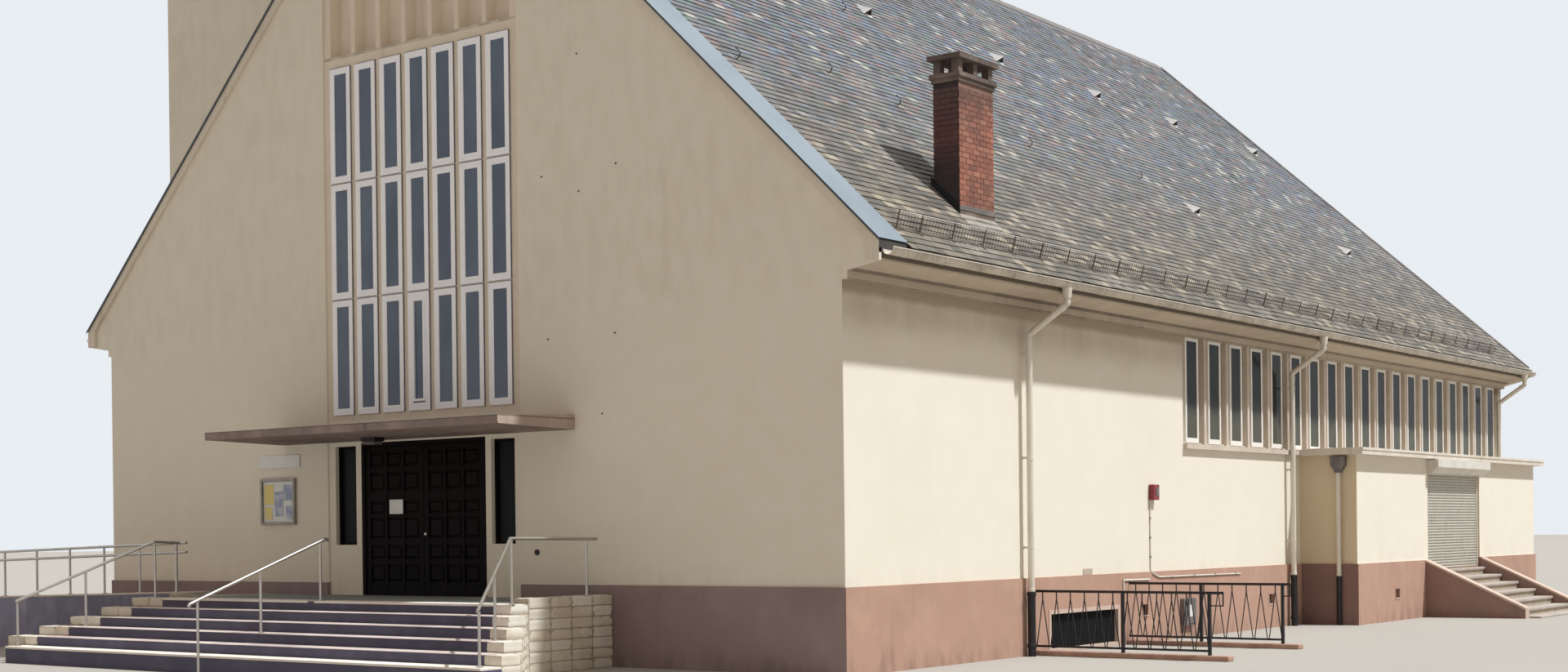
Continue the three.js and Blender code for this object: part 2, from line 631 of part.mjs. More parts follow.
// Concrete canopy and the double door under it
function addEntrance() {
  const outline = [[-CANOPY_REACH, CANOPY_TIP_FOOT], [0, CANOPY_ROOT_FOOT], [0, CANOPY_ROOT_TOP], [-CANOPY_REACH, CANOPY_TOP]];
  const plate = slabYZ(outline, [-CANOPY_HALF, CANOPY_HALF]);
  const root = box([-STRIP_HALF, STRIP_HALF], [-10, STRIP_RECESS], [CANOPY_ROOT_FOOT, CANOPY_ROOT_TOP]);
  addPiece("canopy", plate.add(root), CONCRETE);

  const frameInner = DOOR_HALF - DOOR_FRAME;
  const frameOutline = [
    [-DOOR_HALF, FLOOR_TOP],
    [-frameInner, FLOOR_TOP],
    [-frameInner, DOOR_TOP - DOOR_FRAME],
    [frameInner, DOOR_TOP - DOOR_FRAME],
    [frameInner, FLOOR_TOP],
    [DOOR_HALF, FLOOR_TOP],
    [DOOR_HALF, DOOR_TOP],
    [-DOOR_HALF, DOOR_TOP],
  ];
  const frame = slabXZ(frameOutline, [LEAF_FRONT_Y - 20, LEAF_FRONT_Y + LEAF_THICKNESS + 20]);
  // Half of each hinge stands on the frame, and the half above it on the leaf, round one axis.
  const knuckle = (sign, foot, plateX) => {
    const at = (z) => new THREE.Vector3(sign * HINGE_X, HINGE_Y, z);
    const span = [foot, foot + KNUCKLE_HEIGHT];
    const flap = plateX[0] < HINGE_X ? [LEAF_FRONT_Y + LEAF_THICKNESS - 5, HINGE_Y] : [HINGE_Y - 4, HINGE_Y + 4];
    const plate = box(sign > 0 ? plateX : [-plateX[1], -plateX[0]], flap, span);
    return bar(at(span[0]), at(span[1]), KNUCKLE_RADIUS, 16).add(plate);
  };
  const frameKnuckles = [];
  for (const sign of [1, -1]) {
    for (const foot of HINGE_HEIGHTS) frameKnuckles.push(knuckle(sign, foot, [HINGE_X, frameInner + 10]));
  }
  addPiece("door_frame", joined([frame, ...frameKnuckles]), DARK_WOOD);

  const leafZ = [FLOOR_TOP + LEAF_FLOOR_GAP, DOOR_TOP - DOOR_FRAME - DOOR_CLEARANCE];
  const leafY = [LEAF_FRONT_Y, LEAF_FRONT_Y + LEAF_THICKNESS];
  const hingeX = frameInner - DOOR_CLEARANCE;
  for (const [side, sign] of [["right", 1], ["left", -1]]) {
    const leaf = box(sign > 0 ? [DOOR_CLEARANCE, hingeX] : [-hingeX, -DOOR_CLEARANCE], leafY, leafZ);
    const knuckles = HINGE_HEIGHTS.map((z) =>
      knuckle(sign, z + KNUCKLE_HEIGHT + CONTACT_GAP, [HINGE_X - 40, HINGE_X]),
    );
    addPiece(`door_leaf_${side}`, joined([leaf, ...knuckles]), DARK_WOOD);
  }
}

// Splayed front steps with granite cheeks, and three handrails
function addSteps() {
  const solids = [
    box([-LANDING_HALF, LANDING_HALF], [LANDING_FRONT_Y, -PLINTH_PROUD], [0, LANDING_TOP]),
    box([-STRIP_HALF, STRIP_HALF], [-PLINTH_PROUD - 10, STRIP_RECESS], [0, LANDING_TOP]),
  ];
  const stepEdge = (i) => LANDING_HALF + STEP_SPLAY * i;
  const stepFront = (i) => LANDING_FRONT_Y - TREAD * i;
  const stepTop = (i) => LANDING_TOP - RISER * i;
  for (let i = 1; i <= STEP_COUNT; i += 1) {
    solids.push(box([-stepEdge(i), stepEdge(i)], [stepFront(i), stepFront(i - 1)], [0, stepTop(i)]));
  }
  addPiece("front_steps", joined(solids), STEP_STONE);

  const borderBack = { right: -PLINTH_PROUD, left: RAMP_FRONT_Y - 200 };
  for (const [side, sign] of [["right", 1], ["left", -1]]) {
    const across = (low, high) => (sign > 0 ? [low, high] : [-high, -low]);
    const blocks = [];
    for (let i = 0; i < STEP_COUNT; i += 1) {
      const blockX = across(stepEdge(i), stepEdge(i) + CHEEK_WIDTH[side]);
      blocks.push(box(blockX, [stepFront(i), stepFront(i) + TREAD], [0, stepTop(i)]));
    }
    const borderX = across(LANDING_HALF, LANDING_HALF + BORDER_WIDTH);
    blocks.push(box(borderX, [LANDING_FRONT_Y + TREAD, borderBack[side]], [0, BORDER_TOP]));
    addPiece(`step_cheek_${side}`, joined(blocks), GRANITE);
  }

  const treadTopAt = (y) => stepTop(Math.max(0, Math.ceil((LANDING_FRONT_Y - y) / TREAD)));
  const lift = CONTACT_GAP;
  const centreRail = [new THREE.Vector3(0, -1750, 1750), new THREE.Vector3(0, -3980, 930)];
  const heightOn = (from, to, y) => from.z + ((to.z - from.z) * (y - from.y)) / (to.y - from.y);
  const centre = [bar(...centreRail, RAIL_RADIUS)];
  for (const [y, foot] of [[-1850, LANDING_TOP], [-2860, treadTopAt(-2860)], [-3860, 0]]) {
    centre.push(post(0, y, foot + (foot > 0 ? lift : 0), heightOn(...centreRail, y)));
  }
  addPiece("handrail_centre", joined(centre), STEEL);

  const returnEnd = { right: -300, left: -1450 };
  const returnPost = { right: -500, left: -1510 };
  for (const [side, sign] of [["right", 1], ["left", -1]]) {
    const corner = new THREE.Vector3(sign * SIDE_RAIL_X, -1900, SIDE_RAIL_TOP);
    const low = new THREE.Vector3(sign * SIDE_RAIL_LOW.x, SIDE_RAIL_LOW.y, SIDE_RAIL_LOW.z);
    const end = new THREE.Vector3(corner.x, returnEnd[side], SIDE_RAIL_TOP - 20);
    const middle = corner.clone().lerp(low, 0.5);
    addPiece(
      `handrail_${side}`,
      joined([
        bentTube([low, corner, end], RAIL_RADIUS),
        post(corner.x, -1880, stepTop(0) + lift, SIDE_RAIL_TOP),
        post(corner.x, returnPost[side], BORDER_TOP + lift, SIDE_RAIL_TOP - 10),
        post(middle.x, middle.y, treadTopAt(middle.y) + lift, middle.z),
        post(low.x, low.y + 25, treadTopAt(low.y) + lift, low.z),
      ]),
      STEEL,
    );
  }
}

// Access ramp along the front, with a kerb and a two-bar railing
function addRamp() {
  const start = -LANDING_HALF;
  const topAt = (x) => LANDING_TOP + ((RAMP_END_TOP - LANDING_TOP) * (x - start)) / (RAMP_END_X - start);
  const wedge = (rise) => [[RAMP_END_X, 0], [start, 0], [start, topAt(start) + rise], [RAMP_END_X, topAt(RAMP_END_X) + rise]];
  const deck = slabXZ(wedge(0), [RAMP_FRONT_Y, -PLINTH_PROUD]);
  const kerb = slabXZ(wedge(RAMP_KERB_RISE), [RAMP_FRONT_Y, RAMP_FRONT_Y + RAMP_KERB]);
  addPiece("access_ramp", deck.add(kerb), PALE_CONCRETE);

  const y = RAMP_FRONT_Y + RAMP_KERB / 2;
  const bay = (RAMP_END_X + 60 - RAMP_FIRST_POST_X) / RAMP_BAYS;
  const kerbAt = (x) => topAt(x) + RAMP_KERB_RISE;
  const railEnds = [RAMP_FIRST_POST_X + 250, RAMP_END_X];
  const rails = [RAMP_RAIL_TOP, RAMP_RAIL_MID].map((height) =>
    bar(...railEnds.map((x) => new THREE.Vector3(x, y, kerbAt(x) + height)), RAIL_RADIUS),
  );
  for (let i = 0; i <= RAMP_BAYS; i += 1) {
    const x = RAMP_FIRST_POST_X + i * bay;
    rails.push(post(x, y, kerbAt(x) + 2 * CONTACT_GAP, kerbAt(x) + RAMP_RAIL_TOP));
  }
  addPiece("ramp_railing", joined(rails), STEEL);
}

// Flat-roofed annex with its roller shutter and outside stair
function addAnnex() {
  const [y0, y1] = ANNEX_Y;
  const face = HALF_WIDTH + ANNEX_OUT;
  const inner = face - ANNEX_WALL;
  const plinthFace = face + PLINTH_PROUD;
  const cavityY = [y0 + ANNEX_WALL, y1 - ANNEX_WALL];
  const shell = box([HALF_WIDTH, face], ANNEX_Y, [0, ANNEX_ROOF_FOOT]);
  const foot = box([HALF_WIDTH, plinthFace], [y0 - PLINTH_PROUD, y1 + PLINTH_PROUD], [0, PLINTH_TOP]);
  const cavity = box([HALF_WIDTH - 100, inner], cavityY, [-100, ANNEX_ROOF_FOOT + 100]);
  const naveFoot = box([HALF_WIDTH - 100, HALF_WIDTH + PLINTH_PROUD], [y0 - 200, y1 + 200], [-100, PLINTH_TOP]);
  const opening = box([inner - 100, plinthFace + 100], SHUTTER_Y, [FLOOR_TOP, SHUTTER_TOP]);
  const floor = box([HALF_WIDTH + PLINTH_PROUD, inner + 10], [y0 + 10, y1 - 10], [FLOOR_TOP - 150, FLOOR_TOP]);
  const vent = box([inner - 100, plinthFace + 100], ANNEX_VENT, VENT_Z);
  const walls = shell.add(foot).subtract(cavity).add(floor).subtract(naveFoot).subtract(opening).subtract(vent);
  addPiece("annex_walls", walls, RENDER);
  const roofX = [HALF_WIDTH, face + ANNEX_ROOF_PROUD];
  const roofY = [y0 - ANNEX_ROOF_PROUD, y1 + ANNEX_ROOF_PROUD];
  addPiece("annex_roof", box(roofX, roofY, [ANNEX_ROOF_FOOT, ANNEX_ROOF_FOOT + ANNEX_ROOF_DEPTH]), CONCRETE);

  const curtain = box([face - 70, face - 40], SHUTTER_Y, [FLOOR_TOP, SHUTTER_TOP]);
  const feed = box([face - 70, face + 10], SHUTTER_Y, [SHUTTER_TOP - 40, SHUTTER_TOP]);
  const boxFace = face + SHUTTER_BOX_OUT;
  const boxOutline = [[face, 2745], [face + 90, 2745], [boxFace, 2862], [boxFace, SHUTTER_BOX_TOP], [face, SHUTTER_BOX_TOP]];
  const housing = slabXZ(boxOutline, [SHUTTER_Y[0] - 20, SHUTTER_Y[1] + 50]);
  addPiece("roller_shutter", joined([curtain, feed, housing]), SHUTTER_METAL);

  const [nearY, farY] = [SHUTTER_Y[0] - PARAPET, SHUTTER_Y[1] + PARAPET];
  const slope = [
    [plinthFace, 0],
    [plinthFace + PARAPET_REACH, 0],
    [plinthFace + PARAPET_REACH, PARAPET_LOW],
    [plinthFace, PARAPET_HIGH],
  ];
  const solids = [slabXZ(slope, [nearY, SHUTTER_Y[0]]), slabXZ(slope, [SHUTTER_Y[1], farY])];
  for (let i = 0; i <= ANNEX_STEPS; i += 1) {
    const stepX = [i === 0 ? plinthFace : ANNEX_FIRST_NOSE + ANNEX_TREAD * (i - 1), ANNEX_FIRST_NOSE + ANNEX_TREAD * i];
    solids.push(box(stepX, SHUTTER_Y, [0, FLOOR_TOP - ANNEX_RISER * i]));
  }
  const [slabEnd, slabTop] = ANNEX_LAST_SLAB;
  solids.push(box([plinthFace, slabEnd], SHUTTER_Y, [0, slabTop]));
  addPiece("annex_stair", joined(solids), PALE_CONCRETE);

  const pipeRadius = 40;
  const pipeX = HALF_WIDTH + 740;
  const pipeY = y0 - PLINTH_PROUD - CONTACT_GAP - pipeRadius;
  const pipeFoot = new THREE.Vector3(pipeX, pipeY, 0);
  const pipeTop = new THREE.Vector3(pipeX, pipeY, 2850);
  const hopper = box([pipeX - 110, pipeX + 110], [pipeY - 80, y0 - CONTACT_GAP], [2790, 2990]);
  addPiece("annex_downpipe", bar(pipeFoot, pipeTop, pipeRadius).add(hopper), GUTTER_METAL);
}

// Two railings with zigzag bars beside the basement opening, each over a low kerb
function addBasementRailings() {
  const wallX = HALF_WIDTH + PLINTH_PROUD;
  const sites = [
    { name: "near", y: 4600, height: RAILING_HEIGHT, posts: [8880, 10150], end: 10350, kerbEnd: 10450 },
    { name: "far", y: 7450, height: RAILING_HEIGHT + 30, posts: [8710, 9980], end: 10100, kerbEnd: 10250 },
  ];
  const railHalf = 20;
  const barRadius = 9;
  for (const { name, y, height, posts, end, kerbEnd } of sites) {
    const start = wallX + CONTACT_GAP;
    const rail = (z) => box([start, posts[1]], [y - 12, y + 12], [z - railHalf, z + railHalf]);
    const solids = [rail(height), rail(RAILING_FOOT)];
    solids.push(box([posts[1], end], [y - 12, y + 12], [height - railHalf, height + railHalf]));
    solids.push(box([end - 40, end], [y - 12, y + 12], [height - 170, height]));
    solids.push(box([posts[1], end], [y - 12, y + 12], [height - 170, height - 145]));
    for (const x of posts) solids.push(box([x - 25, x + 25], [y - 25, y + 25], [0, height]));
    const count = Math.floor((posts[1] - start) / RAILING_ZIGZAG);
    const pitch = (posts[1] - start) / count;
    for (let i = 0; i < count; i += 1) {
      const x = start + i * pitch;
      const top = new THREE.Vector3(x + pitch / 2, y, height);
      for (const footX of [x + 12, x + pitch - 12]) {
        solids.push(bar(new THREE.Vector3(footX, y, RAILING_FOOT), top, barRadius, 4));
      }
    }
    solids.push(box([start, kerbEnd], [y - KERB_WIDTH / 2, y + KERB_WIDTH / 2], [0, KERB_TOP]));
    addPiece(`basement_railing_${name}`, joined(solids), BLACK_IRON);
  }
}

// Hollow square bell tower with sound slots and a flat cap
function addTower() {
  const [x0, x1] = TOWER_X;
  const [y0, y1] = TOWER_Y;
  const ring = slabXY(rectangle(TOWER_X, TOWER_Y), [0, TOWER_TOP]);
  const foot = box([x0 - PLINTH_PROUD, x1 - PLINTH_PROUD], [y0 - PLINTH_PROUD, y1 + PLINTH_PROUD], [0, PLINTH_TOP]);
  const bore = box([x0 + WALL, x1 - WALL], [y0 + WALL, y1 - WALL], [-100, TOWER_TOP + 100]);
  let shaft = ring.add(foot).subtract(bore);
  const slotZ = [TOWER_SLOT_FOOT, TOWER_SLOT_TOP];
  const pitch = 620;
  for (let i = 0; i < TOWER_SLOTS; i += 1) {
    const shift = (i - (TOWER_SLOTS - 1) / 2) * pitch;
    const slotX = [(x0 + x1) / 2 + shift - TOWER_SLOT_WIDTH / 2, (x0 + x1) / 2 + shift + TOWER_SLOT_WIDTH / 2];
    const slotY = [(y0 + y1) / 2 + shift - TOWER_SLOT_WIDTH / 2, (y0 + y1) / 2 + shift + TOWER_SLOT_WIDTH / 2];
    shaft = shaft.subtract(box(slotX, [y0 - 100, y1 + 100], slotZ));
    shaft = shaft.subtract(box([x0 - 100, x1 + 100], slotY, slotZ));
  }
  addPiece("tower_shaft", shaft, RENDER);
  const proud = 150;
  const cap = box([x0 - proud, x1 + proud], [y0 - proud, y1 + proud], [TOWER_TOP, TOWER_TOP + TOWER_CAP]);
  addPiece("tower_cap", cap, CONCRETE);
}

addBase();
addFront();
addSides();
addRoof();
addEaves();
addChimney();
addEntrance();
addSteps();
addRamp();
addAnnex();
addBasementRailings();
addTower();

export default church;
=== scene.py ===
"""Looks of the church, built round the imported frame: slates, windows, door, steps, rails and fittings.

Metres. +Y runs to the rear and +Z up; the origin is on the ground under the middle of the front wall's face.
"""
import logging
import math
from dataclasses import dataclass, replace
from enum import Enum
from typing import Sequence

import bmesh
import bpy
import numpy as np
from mathutils import Matrix, Vector


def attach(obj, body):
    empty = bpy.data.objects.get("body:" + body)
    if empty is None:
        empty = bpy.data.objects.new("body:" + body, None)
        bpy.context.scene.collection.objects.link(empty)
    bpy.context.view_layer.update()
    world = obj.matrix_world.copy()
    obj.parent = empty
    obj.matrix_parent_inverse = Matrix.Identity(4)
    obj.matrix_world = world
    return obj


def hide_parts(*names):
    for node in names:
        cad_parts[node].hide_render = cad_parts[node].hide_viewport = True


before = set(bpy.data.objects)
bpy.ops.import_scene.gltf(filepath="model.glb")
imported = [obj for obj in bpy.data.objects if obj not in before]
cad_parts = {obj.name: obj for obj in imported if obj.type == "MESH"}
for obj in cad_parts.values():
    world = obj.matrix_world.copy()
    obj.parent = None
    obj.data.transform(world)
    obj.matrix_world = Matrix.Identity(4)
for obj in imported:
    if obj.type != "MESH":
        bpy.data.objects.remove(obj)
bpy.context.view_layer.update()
LOG = logging.getLogger("church")

Colour = tuple[float, float, float]
Pair = tuple[float, float]
Array = np.ndarray
Socket = bpy.types.NodeSocket
Material = bpy.types.Material

UP = (0.0, 0.0, 1.0)
RIDGE, SLOPE = 12.97515, 0.953
WALL_X, REAR_Y = 7.5, 24.04
TOWER_Y = (4.8, 9.4)


# Shapes as whole arrays


class Plane(Enum):
    """Where a flat outline stands: the axes of u and v across it and of d into it."""

    FRONT = (0, 2, 1)
    SIDE = (1, 2, 0)

    def at(self, u: object, v: object, d: object) -> Array:
        """Points in space.

        Args:
            u: Places across, a number or an array.
            v: Places up or along.
            d: Depths.

        Returns:
            The points, with x, y and z last.
        """
        points = np.empty((*np.broadcast(u, v, d).shape, 3))
        for axis, value in zip(self.value, (u, v, d)):
            points[..., axis] = value
        return points


def roof_top(x: object) -> object:
    """Height of the roof plane at a distance from the middle: the ridge less the slope times |x|."""
    return RIDGE - SLOPE * abs(x)


def copied(faces: Array, count: int, size: int) -> Array:
    """The faces of a number of equal forms; each form's are raised by the points before it."""
    return (faces[None] + size * np.arange(count)[:, None, None]).reshape(-1, faces.shape[1])


@dataclass
class Shell:
    """Points and faces of closed forms, with a tint from 0 to 1 for each face."""

    points: Array
    faces: list[Array]
    tints: list[Array] | None = None

    def __post_init__(self) -> None:
        """Gives faces without a tint the middle one."""
        if self.tints is None:
            self.tints = [np.full(len(f), 0.5) for f in self.faces]

    def mirrored(self) -> "Shell":
        """The same form on the other side of the nave."""
        return Shell(self.points * (-1.0, 1.0, 1.0), [f[:, ::-1] for f in self.faces], self.tints)

    def repeated(self, offsets: Array, seed: int = 1) -> "Shell":
        """Copies of the form.

        Args:
            offsets: What each copy is moved by.
            seed: Start of the copies' tints.

        Returns:
            The copies as one shell.
        """
        count, size = len(offsets), len(self.points)
        shades = np.random.default_rng(seed).random(count)
        points = (offsets[:, None] + self.points[None]).reshape(-1, 3)
        faces, tints = zip(*[(copied(f, count, size), np.repeat(shades, len(f))) for f in self.faces])
        return Shell(points, list(faces), list(tints))


def joined(*shells: Shell) -> Shell:
    """Several forms as one mesh.

    Args:
        shells: The forms.

    Returns:
        A shell; each form's face numbers are raised by the points before it.
    """
    starts = np.cumsum([0] + [len(s.points) for s in shells])
    faces = [f + start for s, start in zip(shells, starts) for f in s.faces]
    return Shell(np.concatenate([s.points for s in shells]), faces, [t for s in shells for t in s.tints])


def rows(x: object, y: object, z: object) -> Array:
    """Points, one for each entry, from three coordinates that are arrays or single numbers."""
    return np.stack(np.broadcast_arrays(*np.atleast_1d(x, y, z)), 1).astype(float)


def table(values: object) -> Array:
    """Rows of numbers as a float array; one row alone becomes an array of one row."""
    return np.atleast_2d(np.asarray(values, float))


CUBE = np.array([[x, y, z] for z in (0.0, 1.0) for x, y in ((0, 0), (1, 0), (1, 1), (0, 1))])
CUBE_FACES = np.array([[0, 3, 2, 1], [4, 5, 6, 7], [0, 1, 5, 4], [1, 2, 6, 5], [2, 3, 7, 6], [3, 0, 4, 7]])


def blocks(corners: Array, tints: Array | None = None) -> Shell:
    """Six-sided blocks.

    Args:
        corners: Eight corners per block, the foot's four and then the top's, counter-clockwise from above.
        tints: One tint per block.

    Returns:
        A shell with six quads per block.
    """
    corners = np.asarray(corners, float).reshape(-1, 8, 3)
    faces = [copied(CUBE_FACES, len(corners), 8)]
    return Shell(corners.reshape(-1, 3), faces, None if tints is None else [np.repeat(tints, 6)])


def boxes(low: Array, high: Array, seed: int = 1) -> Shell:
    """Upright blocks: each corner is low plus the unit cube's corner times the size."""
    low, high = np.broadcast_arrays(table(low), table(high))
    return blocks(low[:, None] + CUBE * (high - low)[:, None], np.random.default_rng(seed).random(len(low)))


def spans(x: Sequence, y: Sequence, z: Sequence, seed: int = 1) -> Shell:
    """Upright blocks between the two ends given along each axis, which are numbers or arrays."""
    return boxes(rows(x[0], y[0], z[0]), rows(x[1], y[1], z[1]), seed)


def lofted(rings: Array, closed: bool = False) -> Shell:
    """Rings of points joined into solids.

    Args:
        rings: Array of (ring, corner, xyz), or of (solid, ring, corner, xyz) for several solids.
        closed: Joins the last ring to the first; else both ends are closed by flat faces.

    Returns:
        A shell whose quads join each ring to the next.
    """
    rings = rings.reshape(-1, *rings.shape[-3:])
    solids, count, size = rings.shape[:3]
    i, k = np.meshgrid(np.arange(count if closed else count - 1), np.arange(size), indexing="ij")
    j, m = (i + 1) % count, (k + 1) % size
    faces = [np.stack([i * size + k, i * size + m, j * size + m, j * size + k], axis=-1).reshape(-1, 4)]
    if not closed:
        faces.append(np.stack([np.arange(size)[::-1], (count - 1) * size + np.arange(size)]))
    return Shell(rings.reshape(-1, 3), [copied(f, solids, count * size) for f in faces])


def prisms(outline: Array, plane: Plane, depths: Array) -> Shell:
    """A flat outline (u, v) carried straight through each pair of depths."""
    u, v = np.asarray(outline, float).T
    return lofted(plane.at(u, v, np.asarray(depths, float).reshape(-1, 2, 1)))


def picture_frames(low: Array, high: Array, profile: Array, plane: Plane) -> Shell:
    """Frames with mitred corners round rectangles.

    Args:
        low: Lowest (u, v) corner of each rectangle.
        high: Highest (u, v) corner.
        profile: Closed section as (inset from the rectangle, depth).
        plane: How u, v and depth lie in space.

    Returns:
        A shell; each section point makes a loop of four corners moved inwards by its inset.
    """
    inset, depth = np.asarray(profile, float).T[..., None, None]
    pick = np.array([[0, 0], [1, 0], [1, 1], [0, 1]])
    corner = np.where(pick, table(high)[:, None, None] - inset, table(low)[:, None, None] + inset)
    return lofted(plane.at(corner[..., 0], corner[..., 1], depth[..., 0]), closed=True)


def swept(path: Array, profile: Array) -> Shell:
    """An eaves profile carried along plan points with mitred corners.

    Args:
        path: Plan points (x, y).
        profile: Section as (out, z); out is to the right of the path.

    Returns:
        A shell; a ring is the path point plus the mitred outward direction times out, at height z.
    """
    path, profile = np.asarray(path, float), np.asarray(profile, float)
    step = np.diff(path, axis=0)
    normal = np.stack([step[:, 1], -step[:, 0]], axis=1)
    normal /= np.linalg.norm(normal, axis=1, keepdims=True)
    before, after = np.vstack([normal[:1], normal]), np.vstack([normal, normal[-1:]])
    mitre = (before + after) / (1 + np.sum(before * after, axis=1, keepdims=True))
    plan = path[:, None] + mitre[:, None] * profile[None, :, :1]
    height = np.broadcast_to(profile[None, :, 1:], plan.shape[:2] + (1,))
    return lofted(np.concatenate([plan, height], axis=-1))


def rounded(points: Sequence[Sequence[float]], radius: float, steps: int = 6) -> Array:
    """A broken line with its inner corners turned into curves.

    Args:
        points: The line's points.
        radius: Distance from a corner at which its curve starts and ends.
        steps: Parts of each curve.

    Returns:
        Points of the smooth line; a corner's curve is the quadratic curve through its two cut points.
    """
    line = np.asarray(points, float)
    inner = line[1:-1]
    ways = (line[:-2] - inner, line[2:] - inner)
    start, end = (inner + way * (radius / np.linalg.norm(way, axis=1, keepdims=True)) for way in ways)
    t = np.linspace(0, 1, steps + 1)[None, :, None]
    curve = (1 - t) ** 2 * start[:, None] + 2 * t * (1 - t) * inner[:, None] + t**2 * end[:, None]
    return np.vstack([line[:1], curve.reshape(-1, 3), line[-1:]])


def tube(path: Array, radius: float, sides: int = 16) -> Shell:
    """A round tube along a line that lies in one plane.

    Args:
        path: Points of the line.
        radius: The tube's radius.
        sides: Corners of its section.

    Returns:
        A shell; a ring is the point plus radius times (cos a across the plane + sin a along its normal).
    """
    path = np.asarray(path, float)
    step = np.diff(path, axis=0)
    step /= np.linalg.norm(step, axis=1, keepdims=True)
    normals = np.cross(step[:-1], step[1:])
    best = normals[np.argmax(np.linalg.norm(normals, axis=1))] if len(normals) else np.zeros(3)
    if np.linalg.norm(best) < 1e-6:
        best = np.cross(step[0], UP if abs(step[0][2]) < 0.9 else (0.0, 1.0, 0.0))
    normal = best / np.linalg.norm(best)
    along = np.vstack([step[:1], step[:-1] + step[1:], step[-1:]])
    along /= np.linalg.norm(along, axis=1, keepdims=True)
    across = np.cross(along, normal)
    stretch = 1 / np.sum(along * np.vstack([step[:1], step]), axis=1)
    angle = np.linspace(0, 2 * np.pi, sides, endpoint=False)[None, :, None]
    spoke = np.cos(angle) * across[:, None] * stretch[:, None, None] + np.sin(angle) * normal[None, None]
    return lofted(path[:, None] + radius * spoke)


def bars(starts: Array, ends: Array, radius: float, sides: int = 6) -> Shell:
    """Many straight round bars.

    Args:
        starts: One end of each bar.
        ends: The other end.
        radius: Radius of every bar.
        sides: Corners of the section.

    Returns:
        A shell; the two rings of a bar lie at its ends, square to its direction.
    """
    starts, ends = np.broadcast_arrays(table(starts), table(ends))
    along = (ends - starts) / np.linalg.norm(ends - starts, axis=1, keepdims=True)
    guide = np.where(np.abs(along[:, 2:]) > 0.9, np.array([[0.0, 1.0, 0.0]]), np.array([UP]))
    across = np.cross(along, guide)
    across /= np.linalg.norm(across, axis=1, keepdims=True)
    other = np.cross(along, across)
    angle = (np.linspace(0, 2 * np.pi, sides, endpoint=False) + np.pi / sides)[None, :, None]
    ring = radius * (np.cos(angle) * across[:, None] + np.sin(angle) * other[:, None])
    return lofted(np.stack([starts[:, None] + ring, ends[:, None] + ring], axis=1))


def turned(profile: Array, centre: Sequence[float], axis: Sequence[float] = UP, sides: int = 24) -> Shell:
    """A turned form.

    Args:
        profile: Points (radius, height) from foot to top.
        centre: Foot of the axis.
        axis: Unit direction of the axis.
        sides: Points round each ring.

    Returns:
        A shell; a ring is the centre plus height along the axis plus radius round it.
    """
    profile, axis = np.asarray(profile, float), np.asarray(axis, float)
    across = np.cross(axis, UP if abs(axis[2]) < 0.9 else (0.0, 1.0, 0.0))
    across /= np.linalg.norm(across)
    angle = np.linspace(0, 2 * np.pi, sides, endpoint=False)[None, :, None]
    spoke = np.cos(angle) * across + np.sin(angle) * np.cross(axis, across)
    return lofted(np.asarray(centre, float) + profile[:, None, 1:] * axis + profile[:, None, :1] * spoke)


def rough_stones(low: Array, high: Array, cells: int, relief: float, seed: int) -> Shell:
    """Split-faced stones: blocks with a grid on each face, worn corners and an uneven surface.

    Args:
        low: Lowest corners, one row per stone.
        high: Highest corners.
        cells: Grid cells along each edge.
        relief: Depth of the unevenness.
        seed: Gives each stone its own tint and shape.

    Returns:
        A shell; each grid point is drawn in at the edges and pushed by a sum of two sine waves of its place.
    """
    line = np.linspace(-1, 1, cells + 1)
    u, v = np.meshgrid(line, line, indexing="ij")
    grid = np.stack([u, v, np.ones_like(u)], axis=-1).reshape(-1, 3)
    unit = np.concatenate([np.roll(grid * (1, 1, s), r, axis=1) for r in range(3) for s in (1, -1)])
    corner = np.sort(np.abs(unit), axis=1)
    worn = 1 - 0.025 * corner[:, 1:2] ** 10 - 0.025 * corner[:, 0:1] ** 10
    centre, half = (low + high) / 2, (high - low) / 2
    rng = np.random.default_rng(seed)
    points = centre[:, None] + unit[None] * worn[None] * (half[:, None] - relief)
    phase = rng.random((len(low), 1, 3)) * 6.0
    wave = np.sin(points[..., [1, 2, 0]] * 31 + phase) + np.sin(points[..., [2, 0, 1]] * 53 + 2 * phase)
    points = points + relief * 0.5 * wave * np.sign(unit)[None] * (np.abs(unit)[None] > 0.99)
    n = cells + 1
    i, k = np.meshgrid(np.arange(cells), np.arange(cells), indexing="ij")
    quad = np.stack([i * n + k, (i + 1) * n + k, (i + 1) * n + k + 1, i * n + k + 1], axis=-1).reshape(-1, 4)
    faces = copied(copied(quad, 6, n * n), len(low), len(unit))
    return Shell(points.reshape(-1, 3), [faces], [np.repeat(rng.random(len(low)), 6 * len(quad))])


# Finishes


